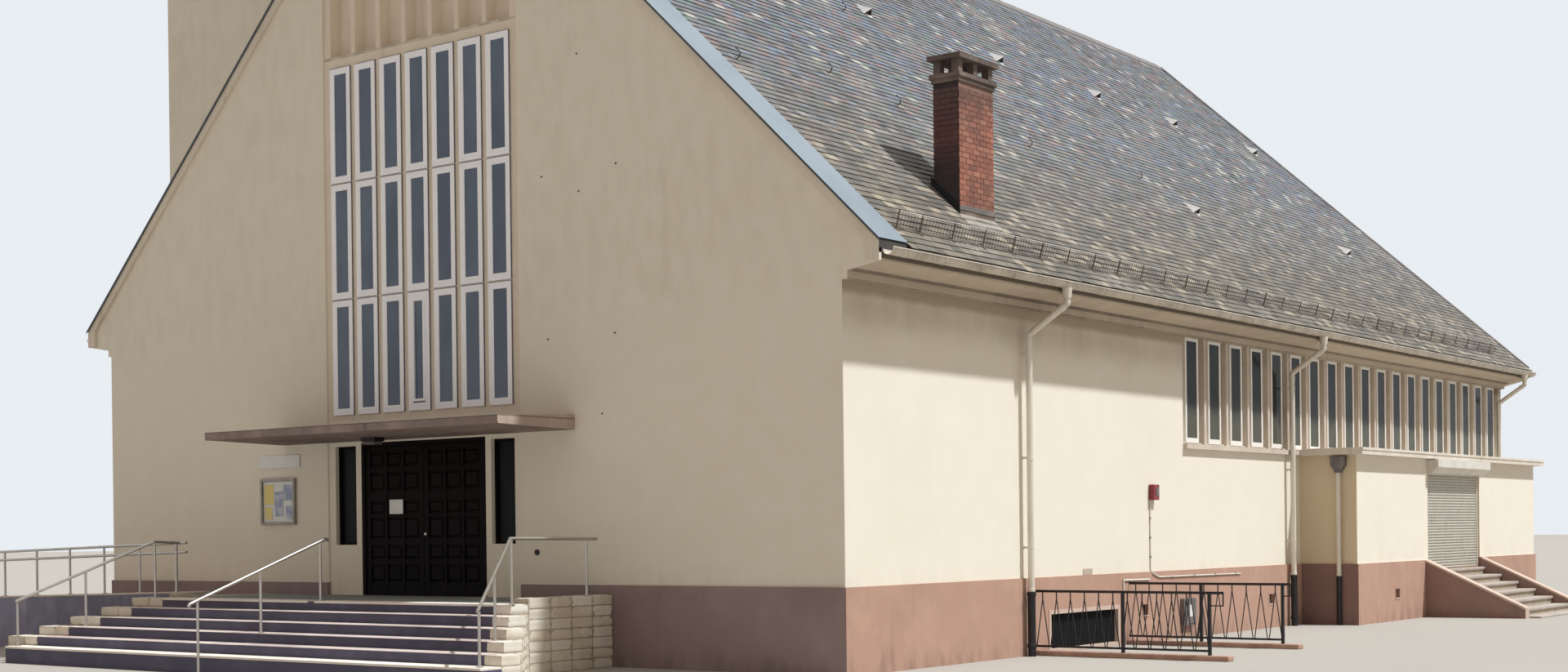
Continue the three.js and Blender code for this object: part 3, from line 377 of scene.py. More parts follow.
class Graph:
    """The nodes of one material on Object coordinates."""

    def __init__(self, name: str, roughness: float, metallic: float = 0.0) -> None:
        """Starts a material.

        Args:
            name: Its name.
            roughness: Set on the shader's own socket.
            metallic: Likewise.
        """
        self.material = bpy.data.materials.new(name)
        self.material.use_nodes = True
        self.tree = self.material.node_tree
        self.shader = self.tree.nodes["Principled BSDF"]
        self.shader.inputs["Roughness"].default_value = roughness
        self.shader.inputs["Metallic"].default_value = metallic
        self.place = self.node("TexCoord").outputs["Object"]

    def feed(self, socket: Socket, value: object) -> None:
        """Links or sets an input.

        Args:
            socket: The input.
            value: An output to link, or a number, a vector or a colour to set.
        """
        if isinstance(value, Socket):
            self.tree.links.new(value, socket)
        else:
            socket.default_value = (*value, 1.0) if socket.type == "RGBA" else value

    def node(self, kind: str, **inputs: object) -> bpy.types.Node:
        """A new node.

        Args:
            kind: Its type's name after ShaderNode.
            inputs: Values for its inputs.

        Returns:
            The node.
        """
        made = self.tree.nodes.new(f"ShaderNode{kind}")
        for name, value in inputs.items():
            self.feed(made.inputs[name], value)
        return made

    def noise(self, scale: float, stretch: Colour = (1, 1, 1), detail: float = 4.0) -> Socket:
        """Cloudy noise from 0 to 1, about `scale` clouds to the metre, stretched along the axes."""
        place = self.node("Mapping", Scale=stretch, Vector=self.place).outputs[0]
        return self.node("TexNoise", Scale=scale, Detail=detail, Vector=place).outputs[0]

    def cells(self, scale: float) -> Socket:
        """Distance to the nearest of scattered points, for grains and pits."""
        return self.node("TexVoronoi", Scale=scale, Vector=self.place).outputs["Distance"]

    def curve(self, value: object, low: float, high: float, floor: float = 0.0, top: float = 1.0) -> Socket:
        """Smooth step.

        Args:
            value: The number put through it.
            low: Where the step starts.
            high: Where it ends.
            floor: The result at low.
            top: The result at high.

        Returns:
            The result.
        """
        node = self.node("MapRange")
        node.interpolation_type = "SMOOTHSTEP"
        for socket, number in zip(node.inputs[:5], (value, low, high, floor, top)):
            self.feed(socket, number)
        return node.outputs[0]

    def axis(self, letter: str) -> Socket:
        """One Object coordinate."""
        return self.node("SeparateXYZ", Vector=self.place).outputs[letter]

    def facing(self, letter: str, low: float, high: float) -> Socket:
        """How far a surface faces one way.

        Args:
            letter: X, Y or Z of its direction, or ROOF for |X| + Y + Z.
            low: Where the share is 0.
            high: Where it is 1.

        Returns:
            The share.
        """
        way = self.node("SeparateXYZ", Vector=self.node("NewGeometry").outputs["Normal"]).outputs
        if letter != "ROOF":
            return self.curve(way[letter], low, high)
        return self.curve(self.add(self.add(self.maths("ABSOLUTE", way["X"]), way["Y"]), way["Z"]), low, high)

    def band(self, middle: float, half: float) -> Socket:
        """Share that is 1 at one height and falls to 0 a set distance above and below it."""
        off = self.maths("ABSOLUTE", self.maths("SUBTRACT", self.axis("Z"), middle))
        return self.curve(off, half, half * 0.4)

    def maths(self, kind: str, a: object, b: object = 0.0) -> Socket:
        """Arithmetic on one or two numbers.

        Args:
            kind: The operation.
            a: First number.
            b: Second number.

        Returns:
            The result.
        """
        node = self.node("Math")
        node.operation = kind
        for socket, value in zip(node.inputs, (a, b)):
            self.feed(socket, value)
        return node.outputs[0]

    def add(self, a: object, b: object) -> Socket:
        """The sum of two numbers."""
        return self.maths("ADD", a, b)

    def times(self, a: object, b: object) -> Socket:
        """The product of two numbers."""
        return self.maths("MULTIPLY", a, b)

    def mix(self, share: object, a: object, b: object, kind: str = "MIX") -> Socket:
        """Two colours as one.

        Args:
            share: How much of the second, from 0 to 1.
            a: First colour.
            b: Second colour.
            kind: The blend.

        Returns:
            The colour.
        """
        node = self.node("Mix")
        node.data_type, node.blend_type = "RGBA", kind
        for index, value in ((0, share), (6, a), (7, b)):
            self.feed(node.inputs[index], value)
        return node.outputs[2]

    def ramp(self, value: object, stops: Sequence[tuple[float, Colour]], steps: bool = False) -> Socket:
        """Colours along a number.

        Args:
            value: The number, from 0 to 1.
            stops: Places and their colours.
            steps: Holds each colour up to the next stop.

        Returns:
            The colour.
        """
        node = self.node("ValToRGB")
        elements = node.color_ramp.elements
        node.color_ramp.interpolation = "CONSTANT" if steps else "LINEAR"
        elements.remove(elements[1])
        elements[0].position, elements[0].color = stops[0][0], (*stops[0][1], 1)
        for place, colour in stops[1:]:
            elements.new(place).color = (*colour, 1)
        self.feed(node.inputs[0], value)
        return node.outputs[0]

    def tint(self) -> Socket:
        """A piece's own shade.

        Returns:
            Its tint attribute, from 0 to 1.
        """
        node = self.node("Attribute")
        node.attribute_name = "tint"
        return node.outputs["Fac"]

    def finish(self, colour: object, relief: object = None, depth: float = 0.002) -> Material:
        """Puts the colour and the bump on the shader.

        Args:
            colour: The surface colour.
            relief: Height of the surface, from 0 to 1.
            depth: Metres that 1 stands for.

        Returns:
            The material.
        """
        self.feed(self.shader.inputs["Base Color"], colour)
        if relief is not None:
            bump = self.node("Bump", Distance=depth, Strength=1.0, Height=relief)
            self.feed(self.shader.inputs["Normal"], bump.outputs[0])
        return self.material


@dataclass(frozen=True)
class Mineral:
    """Render, concrete or stone: clouds, grains, rain streaks, a dirty foot and speckles."""

    base: Colour
    dark: Colour
    pale: Colour
    clouds: float = 0.7
    streaks: float = 0.3
    depth: float = 0.0015
    grain: float = 90.0
    speckle: float = 0.0
    tinted: float = 0.0
    stains_and_shade: tuple[Colour, ...] = ()
    lines: tuple[Colour, ...] = ()
    roughness: float = 0.9

    def colour(self, g: Graph) -> tuple[Socket, Socket]:
        """The colour and the height of the surface.

        Args:
            g: The material's nodes.

        Returns:
            Base mixed to pale by fine clouds, then to dark by broad clouds, streaks, patches between two
            heights and level bands; on some walls and eaves the upper patches and the bands are painted
            shade.
        """
        fine, grain = g.noise(2.6, detail=6), g.noise(self.grain, detail=3)
        colour = g.mix(g.curve(fine, 0.42, 0.72, top=0.8), self.base, self.pale)
        broad = g.times(g.curve(g.noise(0.45, detail=5), 0.45, 0.75), self.clouds)
        run = g.times(g.curve(g.noise(1.0, (5.0, 5.0, 0.35)), 0.5, 0.78), self.streaks)
        # darkening from grime clouds and streaks, then from height patches and level bands, which on some
        # finishes are painted shade under the eaves
        dirt_and_shade = g.add(broad, run)
        height = g.axis("Z")
        for low, high, share in self.stains_and_shade:
            patch = g.times(g.curve(height, low, high), share)
            dirt_and_shade = g.add(dirt_and_shade, g.times(patch, g.curve(g.noise(1.6, (3, 3, 1.2)), 0.3, 0.7)))
        for middle, half, share in self.lines:
            dirt_and_shade = g.add(dirt_and_shade, g.times(g.band(middle, half), g.add(g.times(fine, 0.5), share)))
        colour = g.mix(g.curve(dirt_and_shade, 0.0, 1.5), colour, self.dark)
        if self.speckle:
            for size, near, far, tone in ((1.3, 0.12, 0.3, self.dark), (0.9, 0.1, 0.24, self.pale)):
                spots = g.curve(g.cells(self.grain * size), near, far, self.speckle, 0.0)
                colour = g.mix(spots, colour, tone)
        if self.tinted:
            tone = g.ramp(g.tint(), [(0.0, (0.5 - self.tinted,) * 3), (1.0, (0.5 + self.tinted,) * 3)])
            colour = g.mix(1.0, colour, tone, "OVERLAY")
        return colour, g.add(grain, g.times(fine, 0.6))

    def dress(self, name: str) -> Material:
        """The material."""
        g = Graph(name, self.roughness)
        return g.finish(*self.colour(g), self.depth)


@dataclass(frozen=True)
class WallOverPlinth:
    """Wall render whose foot carries the plinth's finish up to its line, darker where it faces the front as
    painted shade.
    """

    wall: Mineral
    foot: Mineral
    line: float = 1.087
    shade: Colour = (1.0, 1.0, 1.0)
    foot_shade: Colour = (1.0, 1.0, 1.0)

    def dress(self, name: str) -> Material:
        """Builds the material.

        Args:
            name: Its name.

        Returns:
            The foot's colour below the line and the wall's above it, each multiplied by its shade tone on
            faces towards the front as painted shade.
        """
        g = Graph(name, self.wall.roughness)
        (upper, rise), (lower, _) = self.wall.colour(g), self.foot.colour(g)
        share = g.curve(g.axis("Z"), self.line - 0.002, self.line + 0.002)
        # painted shade: faces towards the front are multiplied by the shade tones
        front = g.facing("Y", -0.5, -0.9)
        tones = ((upper, self.shade), (lower, self.foot_shade))
        upper, lower = (g.mix(front, colour, tone, "MULTIPLY") for colour, tone in tones)
        return g.finish(g.mix(share, lower, upper), rise, self.wall.depth)


@dataclass(frozen=True)
class FlutedConcrete:
    """Beige concrete of the window strip: jambs in the flutes lightened as painted light, and soot above the
    top windows.
    """

    base: Mineral
    lit_jamb: Colour = (0.86, 0.77, 0.63)
    soot: Colour = (0.15, 0.12, 0.09)
    line: float = 8.955

    def dress(self, name: str) -> Material:
        """Builds the material.

        Args:
            name: Its name.

        Returns:
            The base, mixed to pale on surfaces that face +X as painted light, and sooty in a band at the
            flutes' foot.
        """
        g = Graph(name, self.base.roughness)
        colour, rise = self.base.colour(g)
        # painted light: the flutes' jambs, which face +X and lie in shade, are mixed towards a pale tone
        colour = g.mix(g.times(g.facing("X", 0.5, 0.9), 0.6), colour, self.lit_jamb)
        patch = g.times(g.band(self.line, 0.03), g.curve(g.noise(4.0, detail=6), 0.38, 0.62, 0.2, 0.5))
        return g.finish(g.mix(patch, colour, self.soot), rise, self.base.depth)


@dataclass(frozen=True)
class Metal:
    """Sheet metal or painted metal, with dull patches and runs of grime."""

    base: Colour
    worn: Colour
    metallic: float = 0.6
    roughness: float = 0.45
    scale: float = 3.0
    wear: float = 0.5
    runs: float = 0.4
    depth: float = 0.0004

    def colour(self, g: Graph) -> tuple[Socket, Socket]:
        """The colour and the height of the surface.

        Args:
            g: The material's nodes.

        Returns:
            The base, mixed to worn by clouds and by upright runs, and a fine noise.
        """
        cloud = g.times(g.curve(g.noise(self.scale, detail=6), 0.4, 0.7), self.wear)
        run = g.times(g.curve(g.noise(1.0, (16, 16, 0.8)), 0.5, 0.75), self.runs)
        return g.mix(g.add(cloud, run), self.base, self.worn), g.noise(self.scale * 14, detail=3)

    def dress(self, name: str) -> Material:
        """The material."""
        g = Graph(name, self.roughness, self.metallic)
        return g.finish(*self.colour(g), self.depth)


@dataclass(frozen=True)
class Faced:
    """A piece that carries another finish where it faces one way or lies far from the middle (ENDS)."""

    rest: Mineral | Metal
    other: Mineral | Metal
    letter: str = "Y"
    low: float = -0.6
    high: float = -0.9

    def dress(self, name: str) -> Material:
        """Builds the material.

        Args:
            name: Its name.

        Returns:
            The other finish where the direction, or the distance, nears the high end.
        """
        g = Graph(name, self.rest.roughness)
        (body, rise), (face, _) = self.rest.colour(g), self.other.colour(g)
        if self.letter == "ENDS":
            share = g.curve(g.maths("ABSOLUTE", g.axis("X")), self.low, self.high)
        else:
            share = g.facing(self.letter, self.low, self.high)
        return g.finish(g.mix(share, body, face), rise, self.rest.depth)


@dataclass(frozen=True)
class Slate:
    """Roof slates: a colour per slate, weathered in broad drifts, browner towards the eaves."""

    eave: float = 5.6
    top: float = 9.5
    tones: tuple[tuple[float, Colour], ...] = (
        (0.0, (0.072, 0.074, 0.088)), (0.14, (0.14, 0.146, 0.166)), (0.34, (0.112, 0.13, 0.18)),
        (0.52, (0.185, 0.165, 0.165)), (0.66, (0.116, 0.16, 0.158)), (0.78, (0.205, 0.14, 0.145)),
        (0.87, (0.138, 0.18, 0.255)), (0.95, (0.42, 0.405, 0.37)))
    worn: tuple[tuple[float, Colour], ...] = (
        (0.0, (0.074, 0.061, 0.04)), (0.3, (0.13, 0.107, 0.073)), (0.65, (0.18, 0.147, 0.099)),
        (0.9, (0.32, 0.266, 0.186)))

    def dress(self, name: str) -> Material:
        """Builds the material.

        Args:
            name: Its name.

        Returns:
            Eight tones by tint, mixed to lichen and soot by clouds and height.
        """
        g = Graph(name, 0.62)
        low = g.curve(g.axis("Z"), self.eave, self.top, 0.92, 0.1)
        worn = g.ramp(g.maths("FRACT", g.times(g.tint(), 7.3)), self.worn, steps=True)
        colour = g.mix(low, g.ramp(g.tint(), self.tones, steps=True), worn)
        drift = g.curve(g.noise(0.9, (1, 0.6, 1), 6), 0.55, 0.7, top=0.5)
        lichen = g.mix(g.curve(g.noise(9.0), 0.45, 0.6), (0.2, 0.175, 0.15), (0.42, 0.385, 0.33))
        colour = g.mix(drift, colour, lichen)
        colour = g.mix(g.curve(g.noise(2.2, detail=8), 0.54, 0.68, top=0.6), colour, (0.075, 0.07, 0.055))
        grain = g.noise(30, (1, 1, 2.5))
        colour = g.mix(g.curve(grain, 0.35, 0.65, top=0.15), colour, (0.2, 0.185, 0.18))
        return g.finish(colour, grain, 0.003)


@dataclass(frozen=True)
class Brick:
    """Chimney bricks: a tone per brick; soot and painted shade on the windward front side, most at its foot;
    a painted shadow under the cap.
    """

    foot: float = 6.1
    head: float = 7.83
    tones: tuple[tuple[float, Colour], ...] = (
        (0.0, (0.26, 0.088, 0.055)), (0.25, (0.36, 0.13, 0.078)), (0.5, (0.305, 0.102, 0.066)),
        (0.72, (0.41, 0.168, 0.108)), (0.92, (0.205, 0.08, 0.06)))

    def dress(self, name: str) -> Material:
        """Builds the material.

        Args:
            name: Its name.

        Returns:
            Five tones by tint, dark in soot clouds; soot and painted shade on the front side, near black at
            its foot; a painted shadow of the cap under it.
        """
        g = Graph(name, 0.88)
        colour = g.ramp(g.tint(), self.tones, steps=True)
        colour = g.mix(g.curve(g.noise(2.0, detail=6), 0.4, 0.75, top=0.6), colour, (0.1, 0.05, 0.04))
        # soot and painted shade: the front side, which lies in shade, is darkened, near black at its foot
        front = g.facing("Y", -0.4, -0.9)
        colour = g.mix(g.times(front, 0.8), colour, (0.075, 0.021, 0.026))
        height = g.add(g.axis("Z"), g.times(g.noise(3.0), 0.5))
        foot = g.curve(height, self.foot + 0.65, self.foot + 1.3, 0.97, 0.0)
        colour = g.mix(g.times(front, foot), colour, (0.018, 0.012, 0.014))
        # painted shadow of the cap: the top courses darken under it
        head = g.curve(height, self.head - 0.35, self.head + 0.3, 0.0, 0.75)
        colour = g.mix(head, colour, (0.085, 0.05, 0.04))
        grain = g.noise(70, detail=4)
        return g.finish(g.mix(g.curve(grain, 0.5, 0.8, top=0.35), colour, (0.4, 0.2, 0.13)), grain, 0.003)


@dataclass(frozen=True)
class Wood:
    """Dark stained boards with upright grain."""

    base: Colour
    pale: Colour

    def dress(self, name: str) -> Material:
        """Builds the material.

        Args:
            name: Its name.

        Returns:
            Grain lines along Z and worn clouds.
        """
        g = Graph(name, 0.6)
        g.shader.inputs["Specular IOR Level"].default_value = 0.06
        grain = g.noise(9, (9, 9, 0.5), 7)
        colour = g.mix(g.curve(grain, 0.35, 0.7), self.base, self.pale)
        colour = g.mix(g.curve(g.noise(2.5), 0.5, 0.8, top=0.6), colour, (0.012, 0.009, 0.008))
        return g.finish(colour, grain, 0.0015)


@dataclass(frozen=True)
class Glass:
    """Window panes against a dark room, with a paler foot below a line where one is given, a painted
    reflection.
    """

    deep: Colour
    pale: Colour
    roughness: float = 0.12
    gloss: float = 0.5
    foot: Colour | None = None
    line: float = 3.72

    def dress(self, name: str) -> Material:
        """Builds the material.

        Args:
            name: Its name.

        Returns:
            A dark pane with a soft drift from deep to pale, its foot as a painted reflection, and a faint
            ripple.
        """
        g = Graph(name, self.roughness)
        g.shader.inputs["Specular IOR Level"].default_value = self.gloss
        cloud = g.noise(1.1, (1, 1, 0.6), 3)
        colour = g.mix(g.curve(cloud, 0.35, 0.7), self.deep, self.pale)
        # painted reflection: the pane turns paler below the line
        if self.foot:
            height = g.add(g.axis("Z"), g.times(cloud, 0.5))
            colour = g.mix(g.curve(height, self.line, self.line + 0.5), self.foot, colour)
        return g.finish(colour, g.noise(2.0, detail=1), 0.004)


# painted shade and grime: the wall darkens in patches from 4.3 m up to 4.9 m under the eaves; it also darkens
# towards its foot with splash grime
WALL = Mineral((0.78, 0.73, 0.62), (0.56, 0.5, 0.39), (0.8, 0.755, 0.65), 0.2, 0.14, 0.001,
               stains_and_shade=((1.5, 1.05, 0.3), (4.3, 4.9, 0.35)))
# painted shade: the dark tone and the level bands darken the side walls in a broad band under the eaves, most
# just below the soffit
SIDE_WALL = replace(WALL, dark=(0.38, 0.32, 0.225), streaks=0.05, stains_and_shade=((1.5, 1.05, 0.2),),
                    lines=((4.95, 0.95, 0.45), (4.9, 0.26, 0.7)))
BASE = Mineral((0.44, 0.265, 0.195), (0.24, 0.14, 0.105), (0.485, 0.3, 0.22), 0.6, 0.3, 0.003, 60,
               stains_and_shade=((0.45, 0.0, 0.7),))
SHADED_BASE = replace(BASE, base=(0.285, 0.205, 0.2), dark=(0.16, 0.11, 0.105), pale=(0.32, 0.235, 0.225))
# painted shade: a darker copy of the plinth for the parapets' faces towards the front
PARAPET_SHADED_FRONT = replace(SHADED_BASE, base=(0.27, 0.165, 0.135), pale=(0.31, 0.19, 0.155))
# painted shade with grime: dark bands along the crease at the wall (4.95 m, 4.847 m) and under the gutter
# (5.08 m)
CORNICE = Mineral((0.52, 0.435, 0.335), (0.15, 0.12, 0.09), (0.57, 0.49, 0.385), 0.4, 0.3, 0.002,
                  lines=((4.95, 0.014, 0.75), (4.847, 0.012, 0.4), (5.08, 0.045, 1.3)))
UNDERLAY = Mineral((0.045, 0.04, 0.038), (0.02, 0.018, 0.018), (0.07, 0.06, 0.055), depth=0.002)
VERGE = Mineral((0.71, 0.645, 0.535), (0.38, 0.31, 0.23), (0.75, 0.685, 0.575), 0.5, 0.35, 0.002)
FLUTES = Mineral((0.74, 0.655, 0.54), (0.34, 0.28, 0.21), (0.8, 0.72, 0.6), 0.35, 0.4, 0.002)
STONE_EDGE = Mineral((0.22, 0.165, 0.145), (0.065, 0.05, 0.042), (0.32, 0.25, 0.215), 0.9, 0.9, 0.004,
                     lines=((3.335, 0.012, 1.3),))
STONE_SIDE = replace(STONE_EDGE, base=(0.42, 0.33, 0.28), dark=(0.2, 0.15, 0.12), pale=(0.5, 0.41, 0.35))
CHIMNEY_JOINT = Mineral((0.235, 0.125, 0.092), (0.11, 0.06, 0.05), (0.29, 0.18, 0.14), depth=0.003)
# soot and painted shade: near black for the shaft's front side
CHIMNEY_SOOT_AND_SHADE = Mineral((0.03, 0.02, 0.022), (0.015, 0.01, 0.012), (0.05, 0.035, 0.035))
ZINC = Metal((0.215, 0.262, 0.3), (0.165, 0.2, 0.235), 0.3, 0.45, 1.6)
# painted shade: near black for the verge flashing's faces towards the front, its lip
LIP_SHADE = Metal((0.035, 0.032, 0.034), (0.055, 0.05, 0.052), 0.1, 0.7, 4.0)


class Finish(Enum):
    """Every finish of the church, with the record's slot that it belongs to."""

    RENDER = "render", WALL
    FRONT_RENDER = "render", Faced(WALL, SIDE_WALL, "ENDS", 7.499, 7.4997)
    SIDE_RENDER = "render", SIDE_WALL
    RAKE = "render", VERGE
    FOOTED = "render", WallOverPlinth(WALL, BASE)
    # painted shade: the annex's faces towards the front are darker, the foot most
    ANNEX = "render", WallOverPlinth(WALL, BASE, shade=(0.84, 0.74, 0.6), foot_shade=(0.5, 0.47, 0.55))
    PLINTH = "plinth", BASE
    FRONT_PLINTH = "plinth", Faced(SHADED_BASE, BASE, "ENDS", 7.529, 7.5297)
    # painted shade on the parapets' faces towards the front
    PARAPET = "plinth", Faced(BASE, PARAPET_SHADED_FRONT)
    COPING = "plinth", Mineral((0.56, 0.42, 0.35), (0.3, 0.22, 0.18), (0.63, 0.49, 0.41), 0.6, 0.5, 0.002)
    EAVES = "concrete", Faced(CORNICE, WALL)
    RIB = "concrete", FlutedConcrete(FLUTES)
    CANOPY = "concrete", Faced(STONE_EDGE, STONE_SIDE, "X", 0.6, 0.9)
    CONCRETE = "concrete", Mineral((0.46, 0.39, 0.3), (0.17, 0.135, 0.1), (0.54, 0.47, 0.38), 0.8, 0.7, 0.002)
    STAIR = "concrete", Mineral((0.4, 0.345, 0.3), (0.16, 0.13, 0.11), (0.5, 0.44, 0.39), 0.6, 0.5, 0.003)
    SOOTY = "concrete", Mineral((0.14, 0.1, 0.08), (0.045, 0.032, 0.027), (0.27, 0.21, 0.175), 1, 0.8, 0.004)
    LATTICE = "pale_concrete", Mineral((0.55, 0.475, 0.395), (0.28, 0.23, 0.18), (0.64, 0.565, 0.48),
                                       0.5, 0.6)
    PALE = "pale_concrete", Mineral((0.64, 0.58, 0.49), (0.33, 0.28, 0.22), (0.74, 0.68, 0.59), 0.5, 0.5)
    NOSING = "pale_concrete", Mineral((0.54, 0.45, 0.42), (0.3, 0.25, 0.23), (0.62, 0.54, 0.5), 0.7, 0.2,
                                      grain=140, speckle=0.5, tinted=0.08)
    CREAM = "pale_concrete", Mineral((0.8, 0.74, 0.66), (0.46, 0.41, 0.35), (0.86, 0.81, 0.74), 0.7, 0.2,
                                     grain=140, speckle=0.3, tinted=0.06)
    # painted sunlight: a cream tone for the sunlit part of the canopy's end face
    PATCH = "pale_concrete", Mineral((0.74, 0.62, 0.42), (0.55, 0.44, 0.3), (0.8, 0.7, 0.52), depth=0.003)
    FRAME = "pale_concrete", Metal((0.93, 0.945, 1.0), (0.8, 0.78, 0.8), 0.0, 0.4, 3.0, 0.15, 0.2)
    SIDE_FRAME = "pale_concrete", Metal((0.82, 0.79, 0.74), (0.62, 0.57, 0.5), 0.0, 0.4, 3.0, 0.2, 0.3)
    RISER = "step_stone", Mineral((0.07, 0.064, 0.108), (0.04, 0.036, 0.06), (0.1, 0.092, 0.145), 0.7, 0.4,
                                  grain=160, speckle=0.35, tinted=0.06)
    LANDING = "step_stone", Mineral((0.2, 0.21, 0.19), (0.11, 0.11, 0.11), (0.28, 0.29, 0.26), grain=160,
                                    speckle=0.4, tinted=0.1)
    CLADDING = "step_stone", Mineral((0.2, 0.2, 0.28), (0.11, 0.11, 0.15), (0.28, 0.28, 0.37), grain=120,
                                     speckle=0.3, tinted=0.14)
    GRANITE = "granite", Mineral((0.7, 0.64, 0.54), (0.32, 0.27, 0.22), (0.82, 0.78, 0.69), 0.4, 0.2, 0.006,
                                 speckle=0.55, tinted=0.1)
    # soot and painted shade: the shaft's faces towards the front are near black
    MORTAR = "brick", Faced(CHIMNEY_JOINT, CHIMNEY_SOOT_AND_SHADE)
    BRICK = "brick", Brick()
    SLATE = "slate", Slate()
    DECK = "slate", Faced(VERGE, UNDERLAY, "ROOF", 0.3, 0.7)
    # painted shade: the lip's front faces are near black
    FLASHING = "zinc", Faced(ZINC, LIP_SHADE)
    LEAD = "zinc", Metal((0.14, 0.125, 0.12), (0.26, 0.22, 0.19), 0.2, 0.6, 5.0)
    APRON = "zinc", Metal((0.32, 0.28, 0.235), (0.22, 0.195, 0.165), 0.2, 0.6, 5.0)
    HOOD = "zinc", Metal((0.6, 0.58, 0.57), (0.46, 0.44, 0.43), 0.15, 0.5, 6.0)
    GUTTER = "gutter_metal", Metal((0.58, 0.52, 0.43), (0.3, 0.26, 0.2), 0.1, 0.45, 2.2, 0.5, 0.5)
    PIPE = "gutter_metal", Metal((0.72, 0.67, 0.58), (0.48, 0.43, 0.36), 0.05, 0.42, 2.0, 0.35, 0.35)
    HOPPER = "gutter_metal", Metal((0.13, 0.115, 0.115), (0.24, 0.21, 0.19), 0.3, 0.5, 6.0)
    STEEL = "stainless", Metal((0.47, 0.44, 0.4), (0.33, 0.3, 0.26), 0.75, 0.36, 7.0, 0.35, 0.1, 0.0002)
    IRON = "black_iron", Metal((0.01, 0.01, 0.012), (0.03, 0.023, 0.02), 0.3, 0.5, 9.0)
    RUSTY = "black_iron", Metal((0.075, 0.05, 0.038), (0.15, 0.09, 0.06), 0.15, 0.75, 8.0)
    # painted shade: black for openings and sheets that lie in shade: vent mouths and backs, the basement
    # opening and its bars, the chimney's front skirt
    SHADE_BLACK = "black_iron", Metal((0.004, 0.004, 0.004), (0.008, 0.007, 0.007), 0.0, 0.95, 8.0)
    DOOR = "dark_wood", Wood((0.0042, 0.0026, 0.0025), (0.01, 0.006, 0.005))
    PANE = "glazing", Glass((0.052, 0.078, 0.125), (0.09, 0.125, 0.185), 0.3)
    # painted reflection: the side panes' pale foot
    SIDE_PANE = "glazing", Glass((0.006, 0.007, 0.009), (0.022, 0.026, 0.022), 0.16, 0.07,
                                 (0.085, 0.085, 0.064))
    DARK_PANE = "glazing", Glass((0.002, 0.002, 0.0025), (0.004, 0.004, 0.005), 0.35, 0.1)
    SHUTTER = "shutter_metal", Metal((0.47, 0.455, 0.385), (0.36, 0.34, 0.28), 0.1, 0.5, 4.0)
    HOUSING = "shutter_metal", Metal((0.7, 0.67, 0.6), (0.54, 0.5, 0.44), 0.05, 0.45, 3.0)
    BOARD = "shutter_metal", Metal((0.3, 0.27, 0.24), (0.2, 0.18, 0.16), 0.5, 0.4, 6.0)
    PAPER = "shutter_metal", Metal((0.78, 0.66, 0.22), (0.7, 0.64, 0.4), 0.0, 0.7, 7.0, 0.5, 0.0)
    SHEET = "shutter_metal", Metal((0.3, 0.36, 0.52), (0.62, 0.64, 0.72), 0.0, 0.7, 9.0, 0.9, 0.0)
    SIGN = "shutter_metal", Metal((0.72, 0.74, 0.72), (0.64, 0.64, 0.62), 0.0, 0.4, 4.0)
    ALARM = "shutter_metal", Metal((0.27, 0.022, 0.03), (0.16, 0.018, 0.022), 0.0, 0.45, 8.0)

    @property
    def slot(self) -> str:
        """The record's material slot."""
        return self.value[0]

    @property
    def material(self) -> Material:
        """The finish's material, made at its first use."""
        name = f"finish_{self.name.lower()}"
        return bpy.data.materials.get(name) or self.value[1].dress(name)


# Pieces


@dataclass
class Assembly:
    """What every sub-assembly shares: placing its pieces and dressing the frame's own nodes."""

    def place(self, name: str, shell: Shell, finish: Finish, *, body: str = "building",
              replaces: Sequence[str] = (), bevel: float = 0.0, smooth: bool = False,
              weld: bool = False) -> None:
        """Makes a mesh piece and puts it on its body.

        Args:
            name: The piece's name.
            shell: Its form.
            finish: Its finish.
            body: The body it moves with.
            replaces: Frame nodes that it stands for.
            bevel: Width of the rounded edges.
            smooth: Shades it smooth, with sharp edges above 35 degrees.
            weld: Merges points that lie on each other first.
        """
        mesh = bpy.data.meshes.new(name)
        faces = [row for group in shell.faces for row in group.tolist()]
        mesh.from_pydata(shell.points.tolist(), [], faces)
        tint = mesh.attributes.new("tint", "FLOAT", "FACE")
        tint.data.foreach_set("value", np.concatenate(shell.tints).astype(np.float32))
        sheet = bmesh.new()
        sheet.from_mesh(mesh)
        if weld:
            bmesh.ops.remove_doubles(sheet, verts=sheet.verts, dist=1e-5)
        bmesh.ops.recalc_face_normals(sheet, faces=sheet.faces)
        sheet.to_mesh(mesh)
        sheet.free()
        if smooth:
            mesh.shade_smooth()
            mesh.set_sharp_from_angle(angle=math.radians(35))
        piece = bpy.data.objects.new(name, mesh)
        bpy.context.scene.collection.objects.link(piece)
        mesh.materials.append(finish.material)
        if bevel:
            edge = piece.modifiers.new("edge", "BEVEL")
            edge.width, edge.segments, edge.limit_method = bevel, 2, "ANGLE"
            edge.angle_limit = math.radians(40)
        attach(piece, body)
        if replaces:
            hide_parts(*replaces)
        LOG.info("%s: %d faces", name, len(faces))

    def pair(self, name: str, right: Shell, finish: Finish, *, left: Shell | None = None, replaces: str = "",
             **options: object) -> None:
        """Places a piece on each side.

        Args:
            name: Its name, before the side.
            right: The form on the right.
            finish: Its finish.
            left: The form on the left; else the right one mirrored.
            replaces: The frame nodes it stands for, before the side.
            options: What `place` takes besides.
        """
        for side, shell in (("right", right), ("left", left or right.mirrored())):
            nodes = [f"{replaces}_{side}"] if replaces else []
            self.place(f"{name}_{side}", shell, finish, replaces=nodes, **options)

    def dress(self, finish: Finish, *nodes: str) -> None:
        """Gives frame nodes a finish.

        Args:
            finish: The finish.
            nodes: Their names.
        """
        for name in nodes:
            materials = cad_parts[name].data.materials
            materials.clear()
            materials.append(finish.material)


